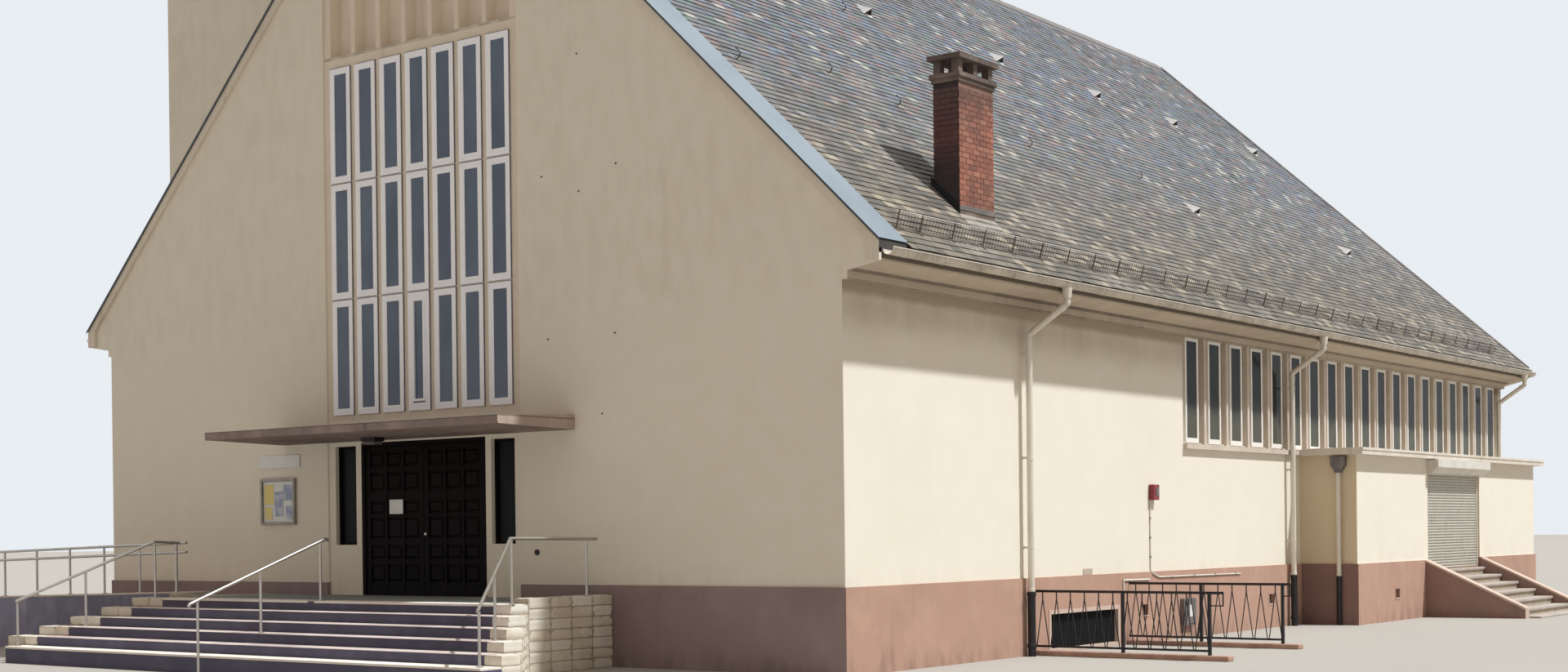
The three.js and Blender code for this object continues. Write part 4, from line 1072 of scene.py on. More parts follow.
@dataclass
class SlateRoof(Assembly):
    """Slate courses on the two slopes and the five facets of the rear end."""

    eave: float = 8.082
    front: float = 0.563
    cap: float = 0.172
    exposure: float = 0.132
    hidden: float = 0.05
    width: float = 0.22
    overhang: float = 0.095

    def at(self, angle: float, down: Array, along: Array, rise: Array) -> Array:
        """Points on one facet.

        Args:
            angle: Direction that the facet faces, in degrees round the rear centre.
            down: Distance down the slope from the ridge or apex.
            along: Distance along the courses.
            rise: Distance off the roof plane.

        Returns:
            Apex plus down the slope, along the course and off the plane.
        """
        run, fall = 1 / math.hypot(1, SLOPE), SLOPE / math.hypot(1, SLOPE)
        c, s = math.cos(math.radians(angle)), math.sin(math.radians(angle))
        out, height = down * run + rise * fall, RIDGE - down * fall + rise * run
        return np.stack([c * out - s * along, REAR_Y + s * out + c * along, height], -1)

    def courses(self, angle: float, seed: int) -> Shell:
        """All slates of one facet.

        Args:
            angle: Direction that the facet faces.
            seed: Start of the random tints and small shifts.

        Returns:
            Thin wedges: row k ends k exposures above the eave, each row is shifted by half a slate,
            and slates are cut along the hips, the front and the tower.
        """
        run = 1 / math.hypot(1, SLOPE)
        length = self.eave / run + self.overhang
        top = self.cap / run if angle in (0, 180) else 0.12
        course = np.arange(int((length - top) / self.exposure))[:, None]
        reach = REAR_Y - self.front
        column = np.arange(-int(reach / self.width) - 2, int(reach / self.width) + 3)[None]
        rng = np.random.default_rng(seed)
        shape = (course.shape[0], column.shape[1])
        low = length - course * self.exposure + rng.uniform(-0.003, 0.003, shape)
        high = np.maximum(low - self.exposure - self.hidden, top)
        left = (column + 0.5 * (course % 2)) * self.width + rng.uniform(-0.008, 0.008, shape)
        right = np.roll(left, -1, axis=1) - 0.003
        right[:, -1] = left[:, -1] + self.width
        gone = np.zeros(shape, bool)
        if angle == 180:
            wall, near, far = WALL_X / run - 0.01, REAR_Y - TOWER_Y[1], REAR_Y - TOWER_Y[0]
            middle, beside = (left + right) / 2, low > wall
            within = beside & (middle > near) & (middle < far)
            low = np.where(within, np.minimum(low, wall), low)
            right = np.where(beside & (middle <= near), np.minimum(right, near), right)
            left = np.where(beside & (middle >= far), np.maximum(left, far), left)
            gone = within & (high > wall - 0.03)

        def cut(edge: Array, down: Array) -> Array:
            """Edges kept between the facet's two ends at a distance down the slope."""
            side = np.tan(np.radians(15)) * down * run
            return np.clip(edge, -reach if angle == 0 else -side, reach if angle == 180 else side)

        ll, lr, hl, hr = cut(left, low), cut(right, low), cut(left, high), cut(right, high)
        keep = (lr - ll > 0.03) & ~gone & (low - high > 0.03)
        lift = rng.uniform(0.0, 0.005, shape)
        corners = [self.at(angle, *spot) for up, over in ((0.0006, 0.006 + lift), (0.003, 0.017 + lift))
                   for spot in ((high, hl, up), (low, ll, over), (low, lr, over), (high, hr, up))]
        return blocks(np.stack(corners, axis=2)[keep], rng.random(shape)[keep])

    def build(self) -> None:
        """Slates, hip rolls and the nodes under them."""
        self.place("slates_right", self.courses(0, 11), Finish.SLATE)
        self.place("slates_left", self.courses(180, 12), Finish.SLATE)
        facets = [self.courses(a, 13 + a) for a in (30, 60, 90, 120, 150)]
        self.place("slates_rear", joined(*facets), Finish.SLATE)
        length, half = self.eave * math.hypot(1, SLOPE), math.tan(math.radians(15)) * self.eave
        ends = [self.at(a, length, half, 0.012) for a in range(0, 180, 30)]
        self.place("hip_rolls", bars(self.at(0, 0.1, 0.02, 0.02), ends, 0.028, 10), Finish.LEAD, smooth=True)
        self.dress(Finish.DECK, "roof_right", "roof_left", "roof_rear")
        self.dress(Finish.LEAD, "ridge_cap")
        self.place("verge_flashing", self.verge(), Finish.FLASHING, replaces=("verge_strip",))
        x0, x1 = self.eave - 0.18, self.eave
        foot = [(x0, 5.02), (x1, 5.02), (x1, roof_top(x1) - 0.1), (x0, roof_top(x0) - 0.1)]
        stub = prisms(foot, Plane.FRONT, (-0.0515, -0.0005))
        self.place("verge_feet", joined(stub, stub.mirrored()), Finish.RAKE)

    def verge(self) -> Shell:
        """The folded sheet along the gable's edge.

        Returns:
            An L with its cover on the slates and a lip in front, whose front faces carry a painted shade.
        """
        reach = self.eave + 0.015
        section = [(0.56, 0.03), (-0.0755, 0.03), (-0.0755, -0.008), (-0.0715, -0.008), (-0.0715, 0.026),
                   (0.56, 0.026)]
        return lofted(np.array([[(x, y, roof_top(x) + z) for y, z in section] for x in (-reach, 0.0, reach)]))


def about(middles: Array, half: float) -> Array:
    """Pairs of ends, a half width below and above each middle."""
    return np.stack([middles - half, middles + half], 1)


@dataclass
class RoofFittings(Assembly):
    """Snow guards, vent hoods and ladder hooks on both slopes."""

    guard_x: float = 7.86
    guard_low: float = 0.01
    guard_high: float = 0.225
    guard_lean: float = 0.06
    guard_ends: Pair = (0.66, 24.4)
    post_start: float = 1.19
    post_pitch: float = 0.761
    bar_pitch: float = 0.071
    tower: Pair = (4.75, 9.45)
    vents: tuple[Pair, ...] = (
        (2.7, 7.64), (2.7, 11.95), (2.7, 15.78), (2.7, 19.28), (2.7, 23.5), (5.73, 13.81), (5.67, 21.49))
    hooks: tuple[Pair, ...] = (
        (5.15, 0.91), (5.11, 4.81), (5.15, 8.65), (5.13, 12.65), (2.83, 6.68), (4.8, 3.5))

    def at(self, x: float, y: float, down: float, along: float, rise: float) -> Colour:
        """A point down the slope, along it and off it, from a place on the roof."""
        run, fall = 0.7239, 0.6899
        return x + down * run + rise * fall, y + along, roof_top(x) - down * fall + rise * run

    def guard(self, start: float, end: float) -> tuple[Shell, Shell]:
        """A run of snow guard.

        Args:
            start: Its front end along Y.
            end: Its rear end.

        Returns:
            The grille, with upright bars, two wires and posts on soles, and its top rail, pale as a painted
            highlight of the sun.
        """
        x, z, lean = self.guard_x, roof_top(self.guard_x), self.guard_lean
        y = np.arange(start, end, self.bar_pitch)
        low, high = z + self.guard_low, z + self.guard_high
        thin = bars(rows(x, y, low), rows(x + lean, y, high), 0.0028, 4)
        posts = np.concatenate([[start], np.arange(self.post_start, end, self.post_pitch)])
        posts = posts[(posts >= start) & (posts <= end)]
        flat = [(x - 0.006, z + 0.012), (x + 0.006, z + 0.012), (x + lean + 0.008, high + 0.012),
                (x + lean - 0.004, high + 0.012)]
        feet = ((-0.04, 0.018), (0.05, 0.018), (0.05, 0.026), (-0.04, 0.026))
        sole = [(x + d, roof_top(x + d) + h) for d, h in feet]
        share = np.array([0.06, 0.5])
        wires = rows(x + lean * share, 0, low + (high - low) * share)
        upright, foot = (prisms(s, Plane.FRONT, about(posts, w)) for s, w in ((flat, 0.009), (sole, 0.02)))
        level = bars(wires + (0, start, 0), wires + (0, end, 0), 0.003, 6)
        rail = bars((x + lean, start, high), (x + lean, end, high), 0.006, 8)
        return joined(thin, upright, foot, level), rail

    def hood(self, x: float, y: float) -> tuple[Shell, Shell]:
        """A vent hood and its mouth, a black plate as painted shade.

        Args:
            x: Place of the mouth down the slope.
            y: Place along the roof.

        Returns:
            A folded hood with a ridge that sinks into the slope, and a black plate in its mouth as painted
            shade.
        """
        outer = ((0.0, -0.115, 0.012), (0.0, 0.115, 0.012), (0.0, 0.0, 0.145), (-0.36, 0.0, 0.012))
        rim = ((0.004, -0.1, 0.02), (0.004, 0.1, 0.02), (0.004, 0.0, 0.13), (-0.004, 0.0, 0.03))
        tongue = ((-0.02, -0.1, 0.02), (-0.02, 0.1, 0.02), (0.09, 0.06, 0.02), (0.09, -0.06, 0.02))
        outer, rim, tongue = (np.array([self.at(x, y, *p) for p in part]) for part in (outer, rim, tongue))
        faces = [np.array([[0, 1, 2], [1, 3, 2], [3, 0, 2], [0, 3, 1]])]
        return joined(Shell(outer, faces), blocks([tongue, tongue + (0.0, 0.0, 0.006)])), Shell(rim, faces)

    def hook(self, x: float, y: float) -> Shell:
        """A ladder hook: a rod that leaves the slates, turns off the roof and points back to the ridge."""
        line = ((0.0, 0.014), (0.05, 0.014), (0.068, 0.065), (0.045, 0.108), (0.0, 0.122), (-0.07, 0.116))
        return tube([self.at(x, y, down, 0, rise) for down, rise in line], 0.0075, 8)

    def build(self) -> None:
        """Guards, vents and hooks."""
        start, end = self.guard_ends
        left = [self.guard(start, self.tower[0] - 0.05), self.guard(self.tower[1] + 0.1, end)]
        # painted highlight: the top rail takes the pale zinc finish for the sun along it
        names = (("snow_guard", Finish.RUSTY), ("snow_guard_rail", Finish.HOOD))
        for (name, finish), right, parts in zip(names, self.guard(start, end), zip(*left)):
            self.pair(name, right, finish, left=joined(*parts).mirrored())
        hoods, mouths = zip(*[self.hood(x, y) for x, y in self.vents])
        self.pair("roof_vent_hoods", joined(*hoods), Finish.HOOD)
        # painted shade: black plates in the hoods' mouths
        self.pair("roof_vent_mouth_shades", joined(*mouths), Finish.SHADE_BLACK)
        self.pair("ladder_hooks", joined(*[self.hook(x, y) for x, y in self.hooks]), Finish.IRON, smooth=True)


@dataclass
class Chimney(Assembly):
    """Brick courses on the chimney shaft, lead at its foot and a weathered cap."""

    x: Pair = (6.9, 7.3)
    y: Pair = (3.06, 3.955)
    foot: float = 6.0
    top: float = 7.83
    course: float = 0.0735
    joint: float = 0.01
    proud: float = 0.005

    def face(self, plane: Plane, span: Pair, depth: Pair, bricks: int, seed: int) -> Shell:
        """Bricks of one face.

        Args:
            plane: How the face stands.
            span: Its ends.
            depth: Back and front of the bricks.
            bricks: Stretchers in a course.
            seed: Start of the random tints.

        Returns:
            Blocks in running bond: every other course starts with half a brick.
        """
        course = np.arange(int((self.top - self.foot) / self.course))[:, None]
        size = (span[1] - span[0]) / bricks
        start = span[0] + (np.arange(bricks + 1)[None] - 0.5 * (course % 2)) * size
        low = np.clip(start, span[0] - self.proud, span[1])
        high = np.clip(start + size - self.joint, span[0], span[1] + self.proud)
        z = self.foot + course * self.course + 0 * start
        keep = high - low > 0.02
        push = np.random.default_rng(seed).uniform(-0.0015, 0.0015, z.shape)
        outer = depth[1] + (1 if depth[1] > depth[0] else -1) * push[keep]
        near = plane.at(low[keep], z[keep], np.minimum(depth[0], outer))
        far = plane.at(high[keep], z[keep] + self.course - self.joint, np.maximum(depth[0], outer))
        shown = far[:, 2] > roof_top(near[:, 0]) - 0.12
        return boxes(near[shown], far[shown], seed)

    def build(self) -> None:
        """Bricks, lead band, apron and cap."""
        (x0, x1), (y0, y1), out = self.x, self.y, self.proud
        ends = ((x1, 1), (x0, -1), (y0, -1), (y1, 1))
        kinds = [(Plane.SIDE, self.y, 5)] * 2 + [(Plane.FRONT, self.x, 2)] * 2
        walls = [self.face(plane, span, (end - 0.02 * way, end + out * way), bricks, 21 + n)
                 for n, ((plane, span, bricks), (end, way)) in enumerate(zip(kinds, ends))]
        self.place("chimney_bricks", joined(*walls), Finish.BRICK, bevel=0.002)
        self.dress(Finish.MORTAR, "chimney_shaft")
        self.dress(Finish.SOOTY, "chimney_cap")

        def top(x: float) -> float:
            """Height of the slates at a distance from the middle."""
            return roof_top(x) + 0.014

        t, back, low, out = top(x1), x0 - 0.05, top(x0 - 0.05), x1 + 0.2
        band = boxes((x1, y0 - 0.012, t + 0.055), (x1 + 0.016, y1 + 0.025, t + 0.125))
        skirt = [(back, low), (x1 + 0.01, t), (x1 + 0.01, t + 0.13), (back, low + 0.13)]
        far, near = (prisms(skirt, Plane.FRONT, depth) for depth in ((y1, y1 + 0.014), (y0 - 0.014, y0)))
        self.place("chimney_lead", joined(band, far), Finish.LEAD, bevel=0.003)
        # painted shade: the skirt on the front side is black
        self.place("chimney_skirt", near, Finish.SHADE_BLACK, bevel=0.003)
        foot = boxes((x1 - 0.01, y0, t - 0.05), (x1 + 0.008, y1 + 0.01, t + 0.06))
        self.place("chimney_foot", foot, Finish.SOOTY)
        flat = np.array([(x1, y0 - 0.02, t), (out, y0 - 0.06, top(out)), (out, y1 + 0.05, top(out)),
                         (x1, y1, t)])
        self.place("chimney_apron", blocks([flat, flat + (0.0, 0.0, 0.008)]), Finish.APRON, bevel=0.002)
        gully = [(back, low), (x1, t), (x1, t + 0.006), (back, low + 0.006)]
        soakers = prisms(gully, Plane.FRONT, [(y0 - 0.1, y0), (y1, y1 + 0.1)])
        self.place("chimney_soakers", soakers, Finish.LEAD)


def arc(centre: Pair, radius: float, start: float, end: float, count: int) -> Array:
    """Points on part of a circle: the centre plus radius times (cos a, sin a), with a in radians."""
    a = np.linspace(start, end, count)
    return np.stack([centre[0] + radius * np.cos(a), centre[1] + radius * np.sin(a)], 1)


def stacked(profile: Array, x: float, y: float, heights: Sequence[float]) -> list[Shell]:
    """Turned rings with 20 sides round one upright axis, their feet at the heights."""
    return [turned(profile, (x, y, z), UP, 20) for z in heights]


@dataclass
class Eaves(Assembly):
    """Half-round gutters with a bead and brackets, downpipes with collars and cast feet."""

    centre_out: float = 0.6573
    radius: float = 0.075
    sheet: float = 0.004
    rim: float = 5.157
    start: float = 0.03
    stations: Colour = (4.32, 13.63, 25.5)
    outlet_shift: float = 0.13
    pipe_out: float = 0.121
    pipe: float = 0.046
    foot_top: float = 0.9

    def corners(self) -> list[Pair]:
        """Plan corners of the rear end.

        Returns:
            Points on the wall's face.
        """
        reach = WALL_X / math.cos(math.radians(15))
        turns = [math.radians(a) for a in range(15, 166, 30)]
        return [(reach * math.cos(a), REAR_Y + reach * math.sin(a)) for a in turns]

    def profile(self) -> Array:
        """The gutter's section.

        Returns:
            Two half circles, a rolled bead on the outer rim and a turned back edge.
        """
        middle, tip = (self.centre_out, self.rim), (self.centre_out + self.radius + 0.004, self.rim + 0.01)
        outer = arc(middle, self.radius, np.pi, 2 * np.pi, 17)
        bead = arc(tip, 0.011, -0.5 * np.pi, 1.25 * np.pi, 9)
        return np.vstack([outer, bead, arc(middle, self.radius - self.sheet, np.pi, 2 * np.pi, 17)[::-1]])

    def brackets(self, ys: Array) -> Shell:
        """Bracket bands under a straight gutter.

        Args:
            ys: Places along Y.

        Returns:
            Half rings, 25 mm wide.
        """
        middle = (WALL_X + self.centre_out, self.rim)
        outer, inner = (arc(middle, self.radius + gap, np.pi, 2 * np.pi, 13) for gap in (0.006, 0.0005))
        return prisms(np.vstack([outer, inner[::-1]]), Plane.FRONT, about(ys, 0.0125))

    def downpipe(self, y: float) -> tuple[Shell, Shell, Shell]:
        """A downpipe at one station.

        Args:
            y: Its place along the wall.

        Returns:
            The painted pipe with collars and funnel, its wall clips, and its cast foot.
        """
        gutter, wall, p = WALL_X + self.centre_out, WALL_X + self.pipe_out, self.pipe
        spout, knee = (np.array((gutter, y + self.outlet_shift, z)) for z in (5.09, 4.87))
        elbow = np.array((wall, y, 4.47))
        line = rounded([spout, knee, elbow, (wall, y, self.foot_top - 0.02)], 0.018, 3)
        funnel = turned([(0.052, -0.14), (0.058, -0.14), (0.072, 0.0), (0.064, 0.0)], spout)
        ring = [(p, 0), (p + 0.005, 0.004), (p + 0.005, 0.046), (p, 0.05)]
        slant = (elbow - knee) / np.linalg.norm(elbow - knee)
        collars = stacked(ring, wall, y, (0.9, 2.72, 4.36)) + [turned(ring, knee + slant * 0.06, slant, 20)]
        heights = np.array([1.5, 2.75, 4.2])
        clips = spans((WALL_X, wall - p + 0.004), (y - 0.012, y + 0.012), (heights, heights + 0.03))
        bands = stacked([(p, 0), (p + 0.004, 0), (p + 0.004, 0.03), (p, 0.03)], wall, y, heights)
        foot = tube([(wall, y, 0.0), (wall, y, self.foot_top)], 0.056, 20)
        cast = stacked([(0.056, 0), (0.066, 0.006), (0.066, 0.05), (0.056, 0.056)], wall, y, (0.12, 0.84))
        return joined(tube(line, p, 20), funnel, *collars), joined(clips, *bands), joined(foot, *cast)

    def build(self) -> None:
        """Gutters, brackets, six downpipes and the cornice."""
        rear = self.corners()
        runs = (("gutter_run", "gutter", [(WALL_X, self.start), *rear, (-WALL_X, 9.4003)]),
                ("gutter_short", "gutter_front_left", [(-WALL_X, 4.7997), (-WALL_X, self.start)]))
        for name, node, path in runs:
            self.place(name, swept(path, self.profile()), Finish.GUTTER, replaces=(node,), smooth=True)
        right = np.arange(0.4, rear[0][1] - 0.1, 0.85)
        left = right[(right < 4.7) | (right > 9.5)]
        self.pair("gutter_brackets", self.brackets(right), Finish.GUTTER, left=self.brackets(left).mirrored())
        for name, y in zip(("front", "middle", "rear"), self.stations):
            pipe, clips, foot = self.downpipe(y)
            self.place(f"pipe_{name}_right", pipe, Finish.PIPE, replaces=(f"downpipe_{name}",), smooth=True)
            self.place(f"pipe_{name}_left", pipe.mirrored(), Finish.PIPE, smooth=True)
            self.pair(f"pipe_{name}_clips", clips, Finish.PIPE)
            self.pair(f"pipe_{name}_foot", foot, Finish.IRON, smooth=True)
        self.dress(Finish.EAVES, "cornice", "cornice_front_left")


@dataclass
class FrontWindows(Assembly):
    """Twenty-one tall windows in the front, their panes and the fluted panel over them."""

    columns: int = 7
    rows: int = 3
    pitch: float = 0.551
    width: float = 0.463
    foot: float = 3.592
    row_pitch: float = 1.7425
    height: float = 1.7225
    face: float = 0.006
    member: float = 0.1
    back: float = 0.0305

    def build(self) -> None:
        """Frames, the sash in the middle window, and the nodes round them."""
        x = (np.arange(self.columns) - (self.columns - 1) / 2) * self.pitch
        z = self.foot + np.arange(self.rows) * self.row_pitch
        x, z = [a.ravel() for a in np.meshgrid(x, z, indexing="ij")]
        low = np.stack([x - self.width / 2, z], 1)
        high = low + (self.width, self.height)
        (x0, z0), (x1, z1) = low.T, high.T
        f, m, b = self.face, self.member, self.back
        section = [(0.0, b), (0.0, f + 0.004), (0.004, f), (m - 0.052, f), (m - 0.048, f + 0.004),
                   (m - 0.044, f), (m - 0.006, f), (m, f + 0.006), (m, b)]
        self.place("front_window_frames", picture_frames(low, high, section, Plane.FRONT), Finish.FRAME)
        # painted shade: dark strips along each frame's right side and head stand for the shadow in the gap to
        # the ribs
        gap = (f - 0.001, f - 0.001 + 0.02)
        gaps = joined(spans((x1 - 0.009, x1 + 0.001), gap, (z0, z1)),
                      spans((x0, x1), gap, (z1 - 0.007, z1 + 0.001)))
        self.place("front_window_shade_lines", gaps, Finish.HOPPER)
        middle = np.flatnonzero((np.abs(x) < 0.01) & (z < self.foot + 0.01))
        sash = [(m, b), (m, f - 0.012), (m + 0.006, f - 0.018), (m + 0.034, f - 0.018), (m + 0.04, f - 0.01),
                (m + 0.04, b)]
        step = [(m - 0.03, b), (m - 0.03, f - 0.006), (m, f - 0.006), (m, b)]
        sashes = [picture_frames(low[middle] + (0, rise), high[middle], part, Plane.FRONT)
                  for rise, part in ((0.03, sash), (0.01, step))]
        self.place("front_window_sash", joined(*sashes), Finish.FRAME)
        panes = spans((x0 + m - 0.004, x1 - m + 0.004), (f + 0.01, f + 0.01 + 0.006),
                      (z0 + m - 0.004, z1 - m + 0.004), 9)
        self.place("front_window_panes", panes, Finish.PANE, replaces=("front_window_glass",))
        self.dress(Finish.RIB, "front_window_lattice", "front_fluted_panel")


@dataclass
class SideWindows(Assembly):
    """Nineteen windows in each side wall's band."""

    start: float = 9.45
    end: float = 25.85
    count: int = 19
    width: float = 0.49
    member: float = 0.055
    foot_member: float = 0.083
    foot: float = 3.135
    head: float = 4.839
    band_foot: float = 3.053
    back: float = 7.29
    recess: float = 7.335
    face: float = 7.46
    fin: float = 7.49
    fin_width: float = 0.08
    sill: Pair = (3.033, 3.113)
    sill_end: Pair = (14.06, 25.85)

    def lattice(self, middles: Array, sill_end: float) -> Shell:
        """Recessed plates, fins, bottom rail and sill.

        Args:
            middles: Middles of the windows along the wall.
            sill_end: Rear end of the sill's nose.

        Returns:
            Plates behind the gaps between frames, a fin in the middle of each gap, and the sill.
        """
        b, r, z0, z1, s = self.back, self.recess, self.band_foot, self.head, self.start
        gaps = np.stack([middles - self.width / 2 + 0.01, middles + self.width / 2 - 0.01], 1).ravel()
        edges = np.concatenate([[s], gaps, [self.end]])
        plates = spans((b, r), (edges[::2], edges[1::2]), (z0, z1))
        f = (middles[:-1] + middles[1:]) / 2
        fins = spans((r - 0.01, self.fin), (f - self.fin_width / 2, f + self.fin_width / 2), (z0, z1))
        rails = boxes([(b, s, z0), (b + 0.01, s, self.sill[0]), (b, s, z1 - 0.01)],
                      [(self.face - 0.01, self.end, self.foot + 0.01), (7.57, sill_end, self.sill[1]),
                       (self.face - 0.02, self.end, z1)])
        return joined(plates, fins, rails)

    def build(self) -> None:
        """Lattice, frames and panes on both sides."""
        y = self.start + (np.arange(self.count) + 0.5) * ((self.end - self.start) / self.count)
        low = np.stack([y - self.width / 2, 0 * y + self.foot], 1)
        high = low + (self.width, self.head - self.foot)
        r, f, m = self.recess - 0.01, self.face, self.member
        section = [(0.0, r), (0.0, f - 0.004), (0.004, f), (m - 0.005, f), (m, f - 0.005), (m, r)]
        cill = rows(r, y - self.width / 2 + 0.01, self.foot + 0.01)
        cills = boxes(cill, cill + (f - 0.0015 - r, self.width - 0.02, self.foot_member - 0.01))
        frames = joined(picture_frames(low, high, section, Plane.SIDE), cills)
        self.pair("side_window_frames", frames, Finish.SIDE_FRAME)
        right, left = (self.lattice(y, end) for end in self.sill_end)
        self.pair("side_lattice", right, Finish.LATTICE, left=left.mirrored(), replaces="side_mullions")
        near, far = y - self.width / 2 + m - 0.004, y + self.width / 2 - m + 0.004
        height = (self.foot + m - 0.004, self.head - m + 0.004)
        panes = spans((f - 0.018, f - 0.012), (near, far), height, 8)
        self.pair("side_panes", panes, Finish.SIDE_PANE, replaces="side_glass")


@dataclass
class Entrance(Assembly):
    """Double door with coffered leaves, sidelights, canopy, lamp and door notice."""

    leaf_x: Pair = (0.005, 1.244)
    leaf_z: Pair = (0.9, 3.099)
    front: float = 0.06
    back: float = 0.12
    sunk: float = 0.026
    stile: float = 0.1
    gap: float = 0.055
    coffers: tuple[Pair, ...] = (
        (1.097, 1.355), (1.431, 1.643), (1.733, 2.051), (2.097, 2.293), (2.445, 2.717), (2.8, 3.02))
    columns: int = 3

    def leaf(self) -> Shell:
        """The right leaf.

        Returns:
            A sheet with raised rails and stiles, and a raised tapered block in every coffer.
        """
        (x0, x1), (z0, z1), front, stile = self.leaf_x, self.leaf_z, self.front, self.stile
        sheet = boxes((x0, front + self.sunk, z0), (x1, self.back, z1))
        width = (x1 - x0 - 2 * stile - (self.columns - 1) * self.gap) / self.columns
        left = x0 + stile + np.arange(self.columns) * (width + self.gap)
        edges, root = np.array([z0, *np.ravel(self.coffers), z1]), front + self.sunk + 0.002
        rails = spans((x0, x1), (front + 0.006, root), (edges[::2], edges[1::2]))
        stiles = spans((np.array([x0, *(left + width)]), np.array([*left, x1])), (front, root), (z0, z1))
        lx, (lz, hz) = np.repeat(left, len(self.coffers)), np.tile(np.array(self.coffers).T, self.columns)
        base, face, m, t = front + self.sunk + 0.001, front + 0.004, 0.022, 0.045
        ring = ((0, t, face, t), (width, -t, face, t), (width, -m, base, m), (0, m, base, m))
        corners = [rows(lx + far + a, depth, z + sign * rise) for z, sign in ((lz, 1), (hz, -1))
                   for far, a, depth, rise in ring]
        return joined(sheet, rails, stiles, blocks(np.stack(corners, axis=1)))

    def knuckles(self) -> Shell:
        """The leaf's halves of its three hinges.

        Returns:
            Rods and flaps.
        """
        x, y, z = 1.24, 0.129, np.array([1.15, 2.0, 2.85]) + 0.0603
        rods = bars(rows(x, y, z), rows(x, y, z + 0.06), 0.008, 16)
        return joined(rods, spans((x - 0.04, x), (0.119, y), (z, z + 0.06)))

    def build(self) -> None:
        """Leaves with their knobs and hinges, frame, sidelights, canopy, lamp and notice."""
        leaf, knuckles = self.leaf(), self.knuckles()
        for side, panel, hinge in (("right", leaf, knuckles), ("left", leaf.mirrored(), knuckles.mirrored())):
            body = f"leaf_{side}"
            self.place(f"door_panel_{side}", panel, Finish.DOOR, body=body, replaces=(f"door_{body}",),
                       bevel=0.003)
            self.place(f"door_hinges_{side}", hinge, Finish.IRON, body=body, smooth=True)
        profile = [(0.0005, -0.036), (0.02, -0.032), (0.026, -0.02), (0.02, -0.008), (0.01, 0.0),
                   (0.01, 0.012), (0.032, 0.014), (0.032, 0.022)]
        knob = turned(profile, (0.062, self.front - 0.006, 1.8), (0, 1, 0))
        self.place("door_knob", knob, Finish.STEEL, body="leaf_right", smooth=True)
        notice = boxes((-0.73, self.front - 0.003, 2.1), (-0.44, self.front + 0.001, 2.31))
        self.place("door_notice", notice, Finish.SIGN, body="leaf_left", bevel=0.001)
        rim = [(0.0, 0.125), (0.0, 0.095), (0.028, 0.095), (0.034, 0.105), (0.034, 0.125)]
        surround = picture_frames((1.422, 1.65), (1.885, 3.126), rim, Plane.FRONT)
        self.pair("sidelight_frame", surround, Finish.DOOR)
        for name, low, high, finish, bevel in (
                ("canopy_lamp", (-0.64, -0.56, 3.145), (-0.34, -0.36, 3.21), Finish.IRON, 0.01),
                ("canopy_lamp_glass", (-0.62, -0.545, 3.1), (-0.36, -0.375, 3.146), Finish.HOPPER, 0.014),
                # painted sunlight: a cream patch where the sun falls on the front part of the canopy's end
                # face
                ("canopy_painted_sunlight", (3.045, -1.452, 3.238), (3.056, -1.0, 3.334), Finish.PATCH, 0.004)):
            self.place(name, boxes(low, high), finish, bevel=bevel)
        self.dress(Finish.DOOR, "door_frame")
        self.dress(Finish.DARK_PANE, "sidelight_glass_right", "sidelight_glass_left")
        self.dress(Finish.CANOPY, "canopy")
        self.dress(Finish.FRONT_PLINTH, "door_sill_wall")
        self.dress(Finish.RENDER, "portal_wall_right", "portal_wall_left", "portal_head")


